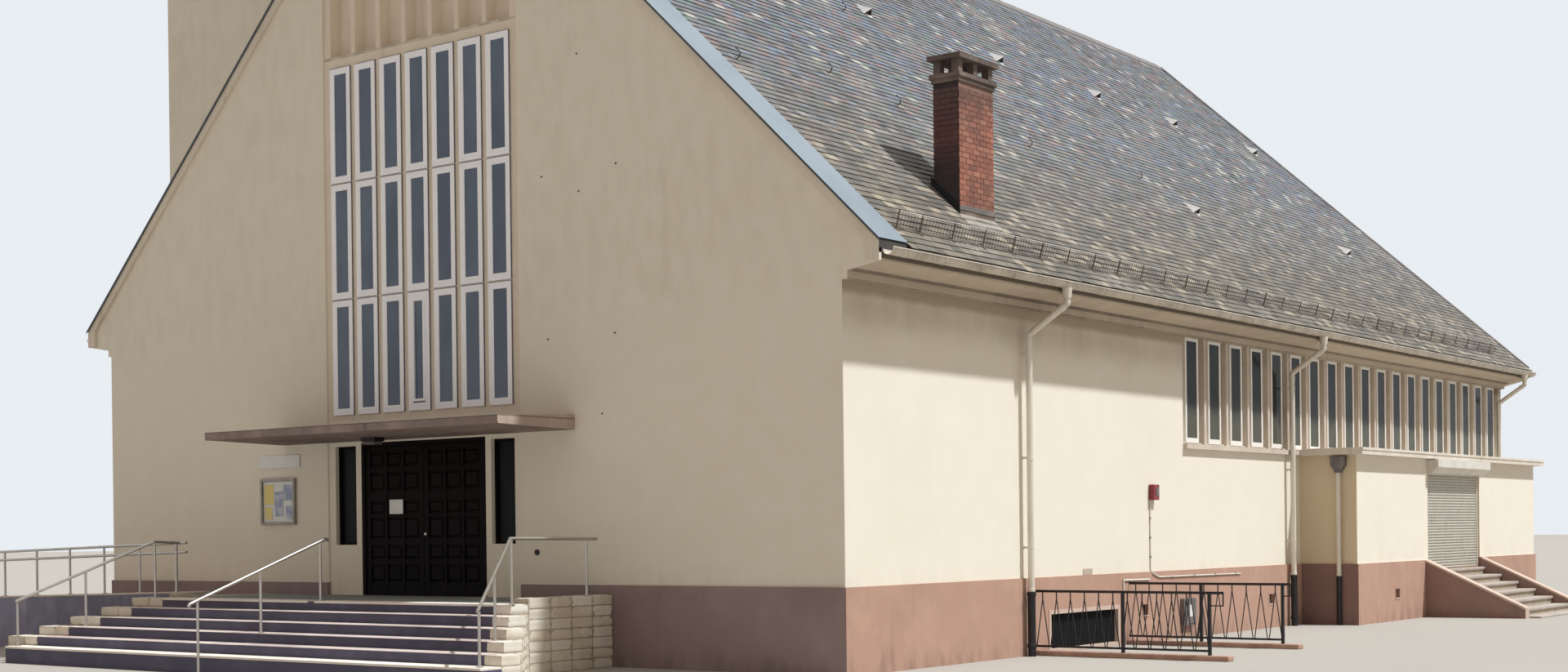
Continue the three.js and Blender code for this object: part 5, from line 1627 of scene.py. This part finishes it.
@dataclass
class FrontSteps(Assembly):
    """Splayed steps with pale nosings, rough granite cheeks and the landing's slabs."""

    top: float = 0.902
    riser: float = 0.132
    tread: float = 0.33
    front: float = -1.95
    half: float = 3.44
    splay: float = 0.29
    count: int = 5
    slab: float = 0.02
    thin: float = 0.007
    edge: float = 0.03
    slab_length: float = 1.18
    cheek: Pair = (0.3, 0.77)

    def row(self, x: Pair, y: Pair, z: float, seed: int, thick: float = 0.02) -> Shell:
        """A row of slabs with open joints between its ends, its top at z and its tints from a seed."""
        ends = np.linspace(x[0], x[1], max(1, round((x[1] - x[0]) / self.slab_length)) + 1)
        return spans((ends[:-1] + 0.002, ends[1:] - 0.002), y, (z - thick, z), seed)

    def stones(self, side: int) -> Shell:
        """Rough stones of one cheek.

        Args:
            side: 1 for the right and -1 for the left.

        Returns:
            One or two stones beside each step and a border of stones back to the wall or the ramp.
        """
        right, left = (1, self.cheek[0], -0.034, 5), (2, self.cheek[1] / 2, -1.404, 2)
        across, width, back, parts = right if side > 0 else left
        grid = np.meshgrid(np.arange(self.count), np.arange(7), np.arange(across), indexing="ij")
        step, course, stone = np.stack([a.ravel() for a in grid])[:, np.ravel(grid[0] + grid[1] < 7)]
        sway = 0.05 * (2 * (course % 2) - 1)
        x0 = self.half + self.splay * step + width * stone + sway * (stone > 0)
        x1 = self.half + self.splay * step + width * (stone + 1) + sway * (stone < across - 1)
        y, top = self.front - self.tread * step, self.top - self.riser * (step + course)
        edges = np.linspace(self.front + self.tread + 0.002, back, parts)
        course, spot = [a.ravel() for a in np.meshgrid(np.arange(7), np.arange(parts - 1), indexing="ij")]
        head = 0.97 - 0.139 * course
        low = [rows(x0 + 0.002, y + 0.002, np.maximum(top - self.riser + 0.003, 0)),
               rows(self.half + 0.002, edges[spot] + 0.002, np.maximum(head - 0.136, 0))]
        high = [rows(x1 - 0.002, y + self.tread - 0.003, top),
                rows(self.half + 0.298, edges[spot + 1] - 0.003, head)]
        return rough_stones(np.concatenate(low), np.concatenate(high), 5, 0.0045, 31 + side)

    def bed(self, side: int) -> Shell:
        """Mortar that fills the joints of one cheek.

        Args:
            side: 1 for the right cheek, -1 for the left.

        Returns:
            The fill, a little behind the stones' faces.
        """
        width, back = (self.cheek[0], -0.04) if side > 0 else (self.cheek[1], -1.41)
        i = np.arange(self.count)
        x, y = self.half + self.splay * i, self.front - self.tread * i
        level = (0, self.top - self.riser * i - 0.012)
        fill = spans((x + 0.01, x + width - 0.012), (y + 0.012, y + self.tread), level)
        border = boxes((self.half + 0.01, self.front + self.tread, 0.0), (self.half + 0.288, back, 0.958))
        return joined(fill, border)

    def build(self) -> None:
        """Core, slabs, nosing strip and cheeks."""
        i = np.arange(1, self.count + 1)
        half, y, z = self.half + self.splay * i, self.front - self.tread * i, self.top - self.riser * i
        thick = np.where(i == self.count, self.edge, self.thin)
        core = spans((-half, half), (y + 0.012, y + self.tread + 0.02), (0, z - thick), 41)
        level = self.top - self.slab
        landing = boxes([(-self.half, self.front + 0.012, 0.0), (-2.03, -0.04, 0.0)],
                        [(self.half, -0.03, level), (2.03, 0.03, level)], 42)
        self.place("step_risers", joined(core, landing), Finish.RISER, replaces=("front_steps",), bevel=0.003)
        treads = [self.row((-h, h), (a, a + self.tread + 0.01), b, 50 + n, t)
                  for n, (h, a, b, t) in enumerate(zip(half, y, z, thick))]
        edge = self.front + 0.3
        strip = [self.row(x, (self.front, edge), self.top, seed, self.edge)
                 for x, seed in (((-self.half, -0.16), 61), ((-0.02, self.half), 62))]
        self.place("step_treads", joined(*treads[:-1]), Finish.NOSING, bevel=0.002)
        self.place("step_edges", joined(treads[-1], *strip), Finish.CREAM, bevel=0.004)
        ends = np.linspace(edge + 0.004, -0.032, 4)
        floor = [self.row((-self.half, self.half), (a, b - 0.004), self.top, 70 + n)
                 for n, (a, b) in enumerate(zip(ends[:-1], ends[1:]))]
        floor += [self.row((-2.03, 2.03), (-0.03, 0.03), self.top, 79),
                  self.row((-0.158, -0.022), (self.front + 0.02, edge), self.top - 0.002, 80)]
        self.place("landing_slabs", joined(*floor), Finish.LANDING, bevel=0.003)
        self.pair("granite_cheek", self.stones(1), Finish.GRANITE, left=self.stones(-1).mirrored(),
                  replaces="step_cheek", weld=True, smooth=True)
        self.pair("cheek_bed", self.bed(1), Finish.CONCRETE, left=self.bed(-1).mirrored())


def kerb_top(x: object) -> object:
    """Top of the ramp's kerb, which falls by 0.162 from the landing's side to the ramp's end."""
    return 0.982 - 0.162 * (x + 3.44) / (-9.9 + 3.44)


@dataclass
class Handrails(Assembly):
    """Stainless handrails on the steps and along the ramp."""

    radius: float = 0.021
    ramp_y: float = -1.14

    def post(self, x: float, y: float, foot: float, top: float) -> Shell:
        """A post with its round base plate."""
        flange = turned([(0.045, 0.0), (0.045, 0.006), (0.038, 0.01), (0.022, 0.01)], (x, y, foot), UP, 20)
        return joined(tube([(x, y, foot), (x, y, top)], self.radius * 0.86, 16), flange)

    def tread(self, y: float) -> float:
        """Height of the step under a place."""
        return 0.902 - 0.132 * max(0, math.ceil((-1.95 - y) / 0.33))

    def build(self) -> None:
        """Centre rail, two side rails and the ramp's railing."""
        top, low = np.array((0, -1.75, 1.75)), np.array((0, -3.98, 0.93))
        rail = tube(rounded([(0, -1.712, 1.728), top, low, (0, -3.995, 0.9)], 0.012, 4), self.radius, 18)
        posts = [self.post(0, y, foot + 0.0005, top[2] + (low[2] - top[2]) * (y - top[1]) / (low[1] - top[1]))
                 for y, foot in ((-1.85, 0.902), (-2.86, self.tread(-2.86)), (-3.86, 0.0))]
        shell = joined(rail, *posts)
        self.place("rail_centre", shell, Finish.STEEL, replaces=("handrail_centre",), smooth=True)
        knob = [(0.0005, -0.0215), (0.013, -0.017), (0.0215, 0.0), (0.013, 0.017), (0.0005, 0.0215)]
        for name, side, end, back in (("right", 1, -0.3, -0.5), ("left", -1, -1.45, -1.51)):
            corner, low = np.array((side * 3.7, -1.9, 1.73)), np.array((side * 4.75, -3.5, 0.89))
            middle, foot = (corner + low) / 2, low[1] + 0.025
            back_end = (corner[0], end, 1.71)
            lines = [tube(line, self.radius, 18) for line in ([low, corner], [corner, back_end])]
            posts = [self.post(corner[0], -1.88, 0.9025, 1.73), self.post(corner[0], back, 0.9705, 1.712),
                     self.post(middle[0], middle[1], self.tread(middle[1]) + 0.0005, middle[2]),
                     self.post(low[0], foot, self.tread(foot) + 0.0005, low[2])]
            shell = joined(*lines, turned(knob, corner, UP, 16), *posts)
            self.place(f"rail_{name}", shell, Finish.STEEL, replaces=(f"handrail_{name}",), smooth=True)
        spots = -4.2 + np.arange(7) * (-9.84 + 4.2) / 6
        posts = [self.post(x, self.ramp_y, kerb_top(x) + 0.0005, kerb_top(x) + 0.74) for x in spots]
        rails = [tube([(x, self.ramp_y, kerb_top(x) + rise) for x in (-3.95, -9.9)], self.radius, 18)
                 for rise in (0.74, 0.6)]
        self.place("rail_ramp", joined(*posts, *rails), Finish.STEEL, replaces=("ramp_railing",), smooth=True)


@dataclass
class Ramp(Assembly):
    """Stone panels on the ramp's front and a pale coping on its kerb."""

    ends: Pair = (-9.9, -3.75)
    panel: float = 0.88

    def build(self) -> None:
        """Panels, coping and the deck."""
        start, end = self.ends
        x = np.linspace(start, end, round((end - start) / self.panel) + 1)
        a, b = x[:-1] + 0.003, x[1:] - 0.003
        corners = np.stack([rows(u, v, lift * (kerb_top(u) - 0.03)) for lift in (0, 1)
                            for u, v in ((a, -1.218), (b, -1.218), (b, -1.2005), (a, -1.2005))], axis=1)
        panels = blocks(corners, np.random.default_rng(5).random(len(a)))
        self.place("ramp_panels", panels, Finish.CLADDING, bevel=0.003)
        coping = [(u, kerb_top(u) + rise) for u, rise in (
            (start, 0.0005), (end + 0.3, 0.0005), (end + 0.3, -0.028), (start, -0.028))]
        self.place("ramp_coping", prisms(coping, Plane.FRONT, (-1.222, -1.2005)), Finish.PALE, bevel=0.003)
        self.dress(Finish.PALE, "access_ramp")


@dataclass
class Annex(Assembly):
    """Service annex: roller shutter, stair with copings, roof edge, hopper and pipe."""

    face: float = 8.548
    door: Pair = (17.94, 21.07)
    sill: float = 0.89
    head: float = 2.774
    slat: float = 0.055
    steps: int = 5
    going: float = 0.333
    rise: float = 0.145
    foot: float = 8.578
    first: float = 8.665
    reach: float = 10.638
    parapet_end: float = 10.42
    pipe: Pair = (8.24, 14.1597)

    def shutter(self) -> None:
        """The curtain: one slat's section, bulged outwards, carried across and stacked; guides and box."""
        (y0, y1), f, h, x = self.door, self.face, self.slat, self.face - 0.066
        section = [(x, 0.0), (x + 0.012, 0.0), (x + 0.014, 0.006), (x + 0.022, 0.016), (x + 0.024, 0.028),
                   (x + 0.022, 0.04), (x + 0.014, h - 0.004), (x, h - 0.004)]
        heights = self.sill + 0.004 + np.arange(int((self.head - self.sill) / h)) * h
        slats = prisms(section, Plane.FRONT, (y0 + 0.03, y1 - 0.03)).repeated(rows(0, 0, heights), 7)
        self.place("shutter_slats", slats, Finish.SHUTTER, replaces=("roller_shutter",), smooth=True)
        guides = boxes([(f - 0.075, y0, self.sill), (f - 0.075, y1 - 0.055, self.sill)],
                       [(f - 0.03, y0 + 0.055, self.head), (f - 0.03, y1, self.head)])
        self.place("shutter_guides", guides, Finish.HOUSING, bevel=0.003)
        case = [(f, 2.745), (f + 0.09, 2.745), (f + 0.222, 2.862), (f + 0.222, 3.012), (f, 3.012)]
        lid = joined(prisms(case, Plane.FRONT, (y0 - 0.02, y1 + 0.05)),
                     boxes((f - 0.07, y0, 2.734), (f + 0.01, y1, 2.774)))
        self.place("shutter_box", lid, Finish.HOUSING, bevel=0.006)

    def stair(self) -> None:
        """Core, slabs, sloped parapets and their copings."""
        (y0, y1), i = self.door, np.arange(self.steps + 1)
        x1, z = self.first + self.going * i, self.sill - self.rise * i
        x0 = np.where(i == 0, self.foot, x1 - self.going)
        core = spans((x0, x1 - 0.035), (y0, y1), (0, z - 0.045), 81)
        self.place("annex_steps", core, Finish.CONCRETE, replaces=("annex_stair",))
        slabs = spans((x0 - 0.004, x1), (y0 + 0.002, y1 - 0.002), (z - 0.05, z), 82)
        low = boxes((x1[-1] - 0.04, y0 + 0.002, 0.0), (self.reach, y1 - 0.002, 0.035))
        self.place("annex_treads", joined(slabs, low), Finish.STAIR, bevel=0.008)
        foot, end = self.foot, self.parapet_end
        wall = [(foot, 0), (end, 0), (end, 0.16), (foot, 1.046)]
        cap = [(foot, 1.046), (end + 0.012, 0.155), (end + 0.012, 0.2), (foot, 1.086)]
        sides = np.array([[y0 - 0.23, y0], [y1, y1 + 0.23]])
        self.place("stair_parapets", prisms(wall, Plane.FRONT, sides), Finish.PARAPET)
        copings = prisms(cap, Plane.FRONT, sides + (-0.012, 0.012))
        self.place("stair_copings", copings, Finish.COPING, bevel=0.005)
        self.place("parapet_ends", spans((end - 0.002, end + 0.008), sides.T, (0.0, 0.17)), Finish.COPING)

    def build(self) -> None:
        """Shutter, stair, roof edge, pipe and nodes."""
        self.shutter()
        self.stair()
        r0, r1, rx, wide = 14.06, 25.02, self.face + 0.17, 0.012
        strip = boxes(rows([7.62, 7.62, rx], [r0 - wide, r1, r0 - wide], 3.095),
                      rows(rx + wide, [r0, r1 + wide, r1 + wide], 3.142))
        self.place("annex_roof_trim", strip, Finish.PALE, bevel=0.003)
        self.dress(Finish.PALE, "annex_roof")
        self.dress(Finish.ANNEX, "annex_walls")
        x, y = self.pipe
        collars = stacked([(0.04, 0), (0.046, 0.004), (0.046, 0.05), (0.04, 0.054)], x, y, (0.86, 1.95))
        pipe = joined(tube([(x, y, 0.86), (x, y, 2.78)], 0.04, 20), *collars)
        self.place("annex_pipe", pipe, Finish.PIPE, replaces=("annex_downpipe",), smooth=True)
        self.place("annex_pipe_foot", tube([(x, y, 0.0), (x, y, 0.88)], 0.046, 20), Finish.IRON, smooth=True)
        levels = ((0.045, 0.045, 2.7), (0.1, 0.065, 2.8), (0.13, 0.065, 2.83), (0.13, 0.065, 2.97),
                  (0.145, 0.068, 2.975), (0.145, 0.068, 3.0))
        round_it = ((-1, -1), (1, -1), (1, 1), (-1, 1))
        rings = [[(x + s * a, y + t * b + 0.02 * (b > 0.05), h) for s, t in round_it] for a, b, h in levels]
        self.place("annex_hopper", lofted(np.array(rings)), Finish.HOPPER, bevel=0.004)


@dataclass
class BasementAccess(Assembly):
    """Zigzag railings on low kerbs beside the basement opening, and its reveal."""

    start: float = 7.5303
    pitch: float = 0.21

    def railing(self, y: float, height: float, posts: Pair, end: float) -> Shell:
        """One railing.

        Args:
            y: Its place along the wall.
            height: Its top rail.
            posts: Places of the two posts out from the wall.
            end: End of the bracket beyond the last post.

        Returns:
            Rails, posts, an end bracket, and rods that rise from the low rail to tips under the top rail.
        """
        start, last = self.start, posts[1]
        thick = np.array([0.006, 0.006, 0.006, 0.014, 0.006])
        low = rows([start, start, last, end - 0.012, last], y - thick,
                   [height - 0.018, 0.115, height - 0.018, height - 0.17, height - 0.178]).tolist()
        high = rows([last, last, end, end, end], y + thick,
                    [height + 0.018, 0.145, height + 0.018, height, height - 0.162]).tolist()
        low += [(x - 0.02, y - 0.02, 0.0) for x in posts]
        high += [(x + 0.02, y + 0.02, height) for x in posts]
        count = int((last - start) / self.pitch)
        x = start + np.arange(count + 1) * (last - start) / count
        tips = (x[:-1] + x[1:]) / 2
        rods = [bars(rows(foot, y, z0), rows(tips, y, z1), radius, 6) for foot, z0, z1, radius in (
            (x[:-1] + 0.012, 0.13, height - 0.1, 0.0075), (x[1:] - 0.012, 0.13, height - 0.1, 0.0075),
            (tips, height - 0.105, height, 0.009))]
        return joined(boxes(low, high), *rods)

    def build(self) -> None:
        """Railings, kerbs, reveal and vent surrounds."""
        for name, y, height, posts, end, kerb in (("near", 4.6, 0.9, (8.88, 10.15), 10.35, 10.45),
                                                  ("far", 7.45, 0.93, (8.71, 9.98), 10.1, 10.25)):
            railing = self.railing(y, height, posts, end)
            self.place(f"railing_{name}", railing, Finish.IRON, replaces=(f"basement_railing_{name}",))
            slab = boxes((self.start, y - 0.09, 0.0), (kerb, y + 0.09, 0.07))
            self.place(f"kerb_{name}", slab, Finish.PLINTH, bevel=0.012)
        reveal = [(0.0, 7.2), (0.0, 7.532), (-0.035, 7.532), (-0.035, 7.538), (0.025, 7.538), (0.025, 7.2)]
        surround = picture_frames((5.0, 0.036), (7.1, 0.58), reveal, Plane.SIDE)
        self.place("basement_reveal", surround, Finish.COPING)
        y = np.arange(5.03, 7.08, 0.035)
        # painted shade: a black sheet fills the opening behind the grating's bars, which take the same black
        mesh = joined(boxes((7.455, 5.02, 0.05), (7.462, 7.08, 0.57)),
                      spans((7.461, 7.472), (y, y + 0.012), (0.05, 0.57)))
        self.place("basement_grating", mesh, Finish.SHADE_BLACK)
        rim = [(0.0, 7.4), (0.0, 7.531), (-0.02, 7.531), (-0.02, 7.536), (0.012, 7.536), (0.012, 7.4)]
        vents = picture_frames([(7.89, 0.41), (12.73, 0.41)], [(8.09, 0.6), (12.95, 0.6)], rim, Plane.SIDE)
        annex = picture_frames((16.05, 0.41), (16.28, 0.6), [(a, d + 1.048) for a, d in rim], Plane.SIDE)
        self.place("vent_surrounds", joined(vents, annex), Finish.PLINTH)
        spots = np.array([[7.47, 7.895, 0.415], [7.47, 12.735, 0.415], [8.518, 16.055, 0.415]])
        # painted shade: black plates inside the vent holes
        self.place("vent_shade_plates", boxes(spots, spots + (0.008, 0.21, 0.18)), Finish.SHADE_BLACK)
        self.place("vent_sills", boxes(spots + (0.03, 0, -0.006), spots + (0.07, 0.21, 0.004)), Finish.PALE)


@dataclass
class WallFittings(Assembly):
    """Boards, alarm box, conduits, meter box, anchors and patches on the walls."""

    anchors: tuple[Pair, ...] = (
        (3.169, 8.257), (3.851, 6.693), (2.489, 6.675), (3.176, 6.402), (3.801, 4.448), (2.575, 4.444),
        (3.558, 3.384))

    def boards(self) -> None:
        """The notice case on the front with its sheets."""
        rim = [(0.0, 0.0), (0.0, -0.05), (0.006, -0.056), (0.036, -0.056), (0.042, -0.048), (0.042, 0.0)]
        case = picture_frames((-3.57, 1.97), (-2.76, 2.68), rim, Plane.FRONT)
        self.place("notice_case", case, Finish.BOARD)
        low = rows([-3.5, -3.49, -3.25, -3.04, -2.99], [-0.024, -0.025, -0.026, -0.025, -0.024],
                   [2.28, 2.05, 2.1, 2.34, 2.05])
        size = rows([0.22, 0.17, 0.2, 0.2, 0.15], 0.003, [0.31, 0.19, 0.38, 0.24, 0.21])
        self.place("notice_papers", boxes(low[:2], (low + size)[:2], 3), Finish.PAPER)
        self.place("notice_sheets", boxes(low[2:], (low + size)[2:], 4), Finish.SHEET)

    def conduits(self) -> None:
        """Two runs of conduit on the right wall, with clips."""
        near, far = WALL_X + 0.012, WALL_X + 0.042
        line = rows([near, near, far, far, far], [8.22, 8.22, 8.25, 8.45, 11.53], [2.2, 1.12, 1.06, 1, 0.98])
        runs = [tube(part, 0.011, 10) for part in zip(line[:-1], line[1:])]
        runs += [tube(part, 0.014, 10) for part in (((far, 8.12, 0.97), (far, 7.25, 0.98)),
                                                    ((far, 7.25, 0.99), (far, 7.25, 0.1)))]
        self.place("wall_conduits", joined(*runs), Finish.HOUSING, smooth=True)
        clips = np.array([[WALL_X, 8.208, z] for z in (1.3, 1.6, 1.9)]
                         + [[WALL_X + 0.03, y, 0.975] for y in (8.9, 9.7, 10.5, 11.3)])
        self.place("conduit_clips", boxes(clips, clips + (0.026, 0.024, 0.03)), Finish.BOARD)

    def build(self) -> None:
        """All fittings."""
        self.boards()
        self.conduits()
        profile = [(0.0005, -0.03), (0.033, -0.03), (0.04, -0.02), (0.04, 0.0)]
        disc = turned(profile, (2.33, 0.0, 1.53), (0, 1, 0), 20)
        self.place("wall_socket", disc, Finish.IRON, smooth=True)
        x, z = np.array(self.anchors).T
        self.place("wall_anchors", bars(rows(x, 0.0, z), rows(x, -0.006, z), 0.014, 12), Finish.RUSTY)
        box = boxes([(7.53, 9.22, 0.2), (7.6, 9.25, 0.23)], [(7.6, 9.66, 0.63), (7.608, 9.63, 0.6)])
        self.place("meter_box", box, Finish.HOPPER, bevel=0.008)
        for name, low, high, finish, bevel in (
                ("sign_plate", (-3.64, -0.022, 2.84), (-2.66, -0.004, 3.04), Finish.SIGN, 0.003),
                ("notice_back", (-3.53, -0.02, 2.01), (-2.8, 0.0, 2.64), Finish.SIGN, 0.0),
                ("alarm_box", (7.5, 8.2, 2.2), (7.59, 8.4, 2.44), Finish.ALARM, 0.01),
                ("alarm_button", (7.589, 8.27, 2.27), (7.597, 8.38, 2.39), Finish.HOPPER, 0.003),
                ("meter_plate", (7.608, 9.4, 0.34), (7.612, 9.5, 0.53), Finish.SIGN, 0.002),
                ("wall_patch", (7.499, 6.04, 1.089), (7.506, 6.33, 1.18), Finish.CONCRETE, 0.002)):
            self.place(name, boxes(low, high), finish, bevel=bevel)


@dataclass
class BellTower(Assembly):
    """Sloping blades in the tower's sound slots."""

    x: Pair = (-12.5, -WALL_X)
    foot: float = 18.0
    top: float = 20.6
    slots: int = 5
    pitch: float = 0.62
    width: float = 0.3
    blade: float = 0.2

    def build(self) -> None:
        """Blades on four sides and the shaft's finish."""
        heights = np.arange(self.foot + 0.05, self.top - 0.15, self.blade)
        shift = (np.arange(self.slots) - (self.slots - 1) / 2) * self.pitch
        blade = np.array([[0.04, 0.0], [0.07, 0.0], [0.28, 0.13], [0.25, 0.13]])
        parts = []
        for plane, faces, across in ((Plane.SIDE, TOWER_Y, self.x), (Plane.FRONT, self.x, TOWER_Y)):
            for face, sign in zip(faces, (1, -1)):
                section = blade * (sign, 1) + (face, 0)
                for middle in sum(across) / 2 + shift:
                    ends = (middle - self.width / 2 + 0.001, middle + self.width / 2 - 0.001)
                    parts.append(prisms(section, plane, ends).repeated(rows(0, 0, heights)))
        self.place("tower_blades", joined(*parts), Finish.CONCRETE)
        self.dress(Finish.FOOTED, "tower_shaft")
        self.dress(Finish.CONCRETE, "tower_cap")


@dataclass
class Walls(Assembly):
    """Finishes of the walls and the base."""

    def build(self) -> None:
        """Walls, plinths and floor."""
        self.dress(Finish.FRONT_RENDER, "front_wall_right", "front_wall_left")
        self.dress(Finish.SIDE_RENDER, "side_wall_right", "side_wall_left", "rear_wall")
        self.dress(Finish.FRONT_PLINTH, "plinth_front_right", "plinth_front_left")
        self.dress(Finish.PLINTH, "plinth_right", "plinth_left", "plinth_rear")
        self.dress(Finish.CONCRETE, "floor_slab")


@dataclass
class Studio:
    """Camera at the photograph's place, a pale floor and soft light."""

    eye: Colour = (21.1844, -19.43296, 1.78973)
    yaw: float = 0.6446626
    pitch: float = -0.0049157
    roll: float = -0.0114787
    focal: float = 2390.4337
    horizon: float = 661.58525
    width: int = 1920
    height: int = 823
    sun_azimuth: float = 23.0
    sun_height: float = 59.0

    def show(self, thing: bpy.types.Object) -> None:
        """Links an object to the scene."""
        bpy.context.scene.collection.objects.link(thing)

    def camera(self) -> None:
        """The camera, turned by yaw, pitch and roll, with an upward shift."""
        data = bpy.data.cameras.new("camera")
        data.sensor_width, data.clip_end = 36.0, 600
        data.lens = self.focal / self.width * 36.0
        data.shift_y = (self.horizon - self.height / 2) / self.width
        cam = bpy.data.objects.new("camera", data)
        cy, sy, cp, sp = math.cos(self.yaw), math.sin(self.yaw), math.cos(self.pitch), math.sin(self.pitch)
        ahead, level = Vector((-sy * cp, cy * cp, sp)), Vector((cy, sy, 0))
        up = level.cross(ahead)
        cr, sr = math.cos(self.roll), math.sin(self.roll)
        right, top = cr * level + sr * up, -sr * level + cr * up
        cam.matrix_world = Matrix.Translation(self.eye) @ Matrix((right, top, -ahead)).transposed().to_4x4()
        self.show(cam)
        bpy.context.scene.camera = cam

    def stage(self) -> None:
        """A pale floor under the church and a pale round backdrop that only the camera and gloss see."""
        mesh, dome = bpy.data.meshes.new("floor"), bpy.data.meshes.new("backdrop")
        mesh.from_pydata([(-260, -240, 0), (260, -240, 0), (260, 280, 0), (-260, 280, 0)], [], [(0, 1, 2, 3)])
        g = Graph("floor", 0.95)
        mesh.materials.append(g.finish(g.mix(g.noise(0.6), (0.36, 0.335, 0.3), (0.395, 0.365, 0.33))))
        angle = np.linspace(0, 2 * np.pi, 96, endpoint=False)
        tilt = np.radians(np.linspace(-1, 89.5, 24))[:, None]
        level = np.cos(tilt)
        rings = 255 * np.stack([level * np.cos(angle), level * np.sin(angle), np.sin(tilt) + 0 * angle], -1)
        shell = lofted(rings + (0, 12, 0))
        dome.from_pydata(shell.points.tolist(), [], shell.faces[0].tolist())
        g = Graph("backdrop", 1.0)
        g.shader.inputs["Base Color"].default_value = (0, 0, 0, 1)
        g.shader.inputs["Emission Color"].default_value = (0.8, 0.84, 0.88, 1)
        g.shader.inputs["Emission Strength"].default_value = 1.0
        dome.materials.append(g.material)
        floor, backdrop = bpy.data.objects.new("floor", mesh), bpy.data.objects.new("backdrop", dome)
        backdrop.visible_diffuse = backdrop.visible_shadow = backdrop.visible_transmission = False
        for piece in (floor, backdrop):
            self.show(piece)

    def light(self) -> None:
        """A soft sun and a pale surround."""
        scene = bpy.context.scene
        scene.view_settings.view_transform = "Standard"
        scene.view_settings.look = "None"
        sun = bpy.data.lights.new("sun", "SUN")
        sun.energy, sun.angle, sun.color = 4.3, math.radians(2.2), (0.96, 1.0, 1.02)
        lamp = bpy.data.objects.new("sun", sun)
        a, h = math.radians(self.sun_azimuth), math.radians(self.sun_height)
        towards = Vector((math.cos(h) * math.cos(a), math.cos(h) * math.sin(a), math.sin(h)))
        lamp.rotation_euler = towards.to_track_quat("Z", "Y").to_euler()
        self.show(lamp)
        world = bpy.data.worlds.new("sky")
        world.use_nodes = True
        surround = world.node_tree.nodes["Background"].inputs
        surround[0].default_value, surround[1].default_value = (1.0, 0.85, 0.73, 1), 0.41
        scene.world = world


def main() -> None:
    """Builds every sub-assembly in order."""
    logging.basicConfig(level=logging.INFO, format="%(name)s %(message)s")
    studio = Studio()
    studio.camera()
    studio.stage()
    studio.light()
    for kind in (Walls, SlateRoof, RoofFittings, Chimney, Eaves, FrontWindows, SideWindows, Entrance,
                 FrontSteps, Handrails, Ramp, Annex, BasementAccess, WallFittings, BellTower):
        LOG.info("building %s", kind.__name__)
        kind().build()


if __name__ == "__main__":
    main()
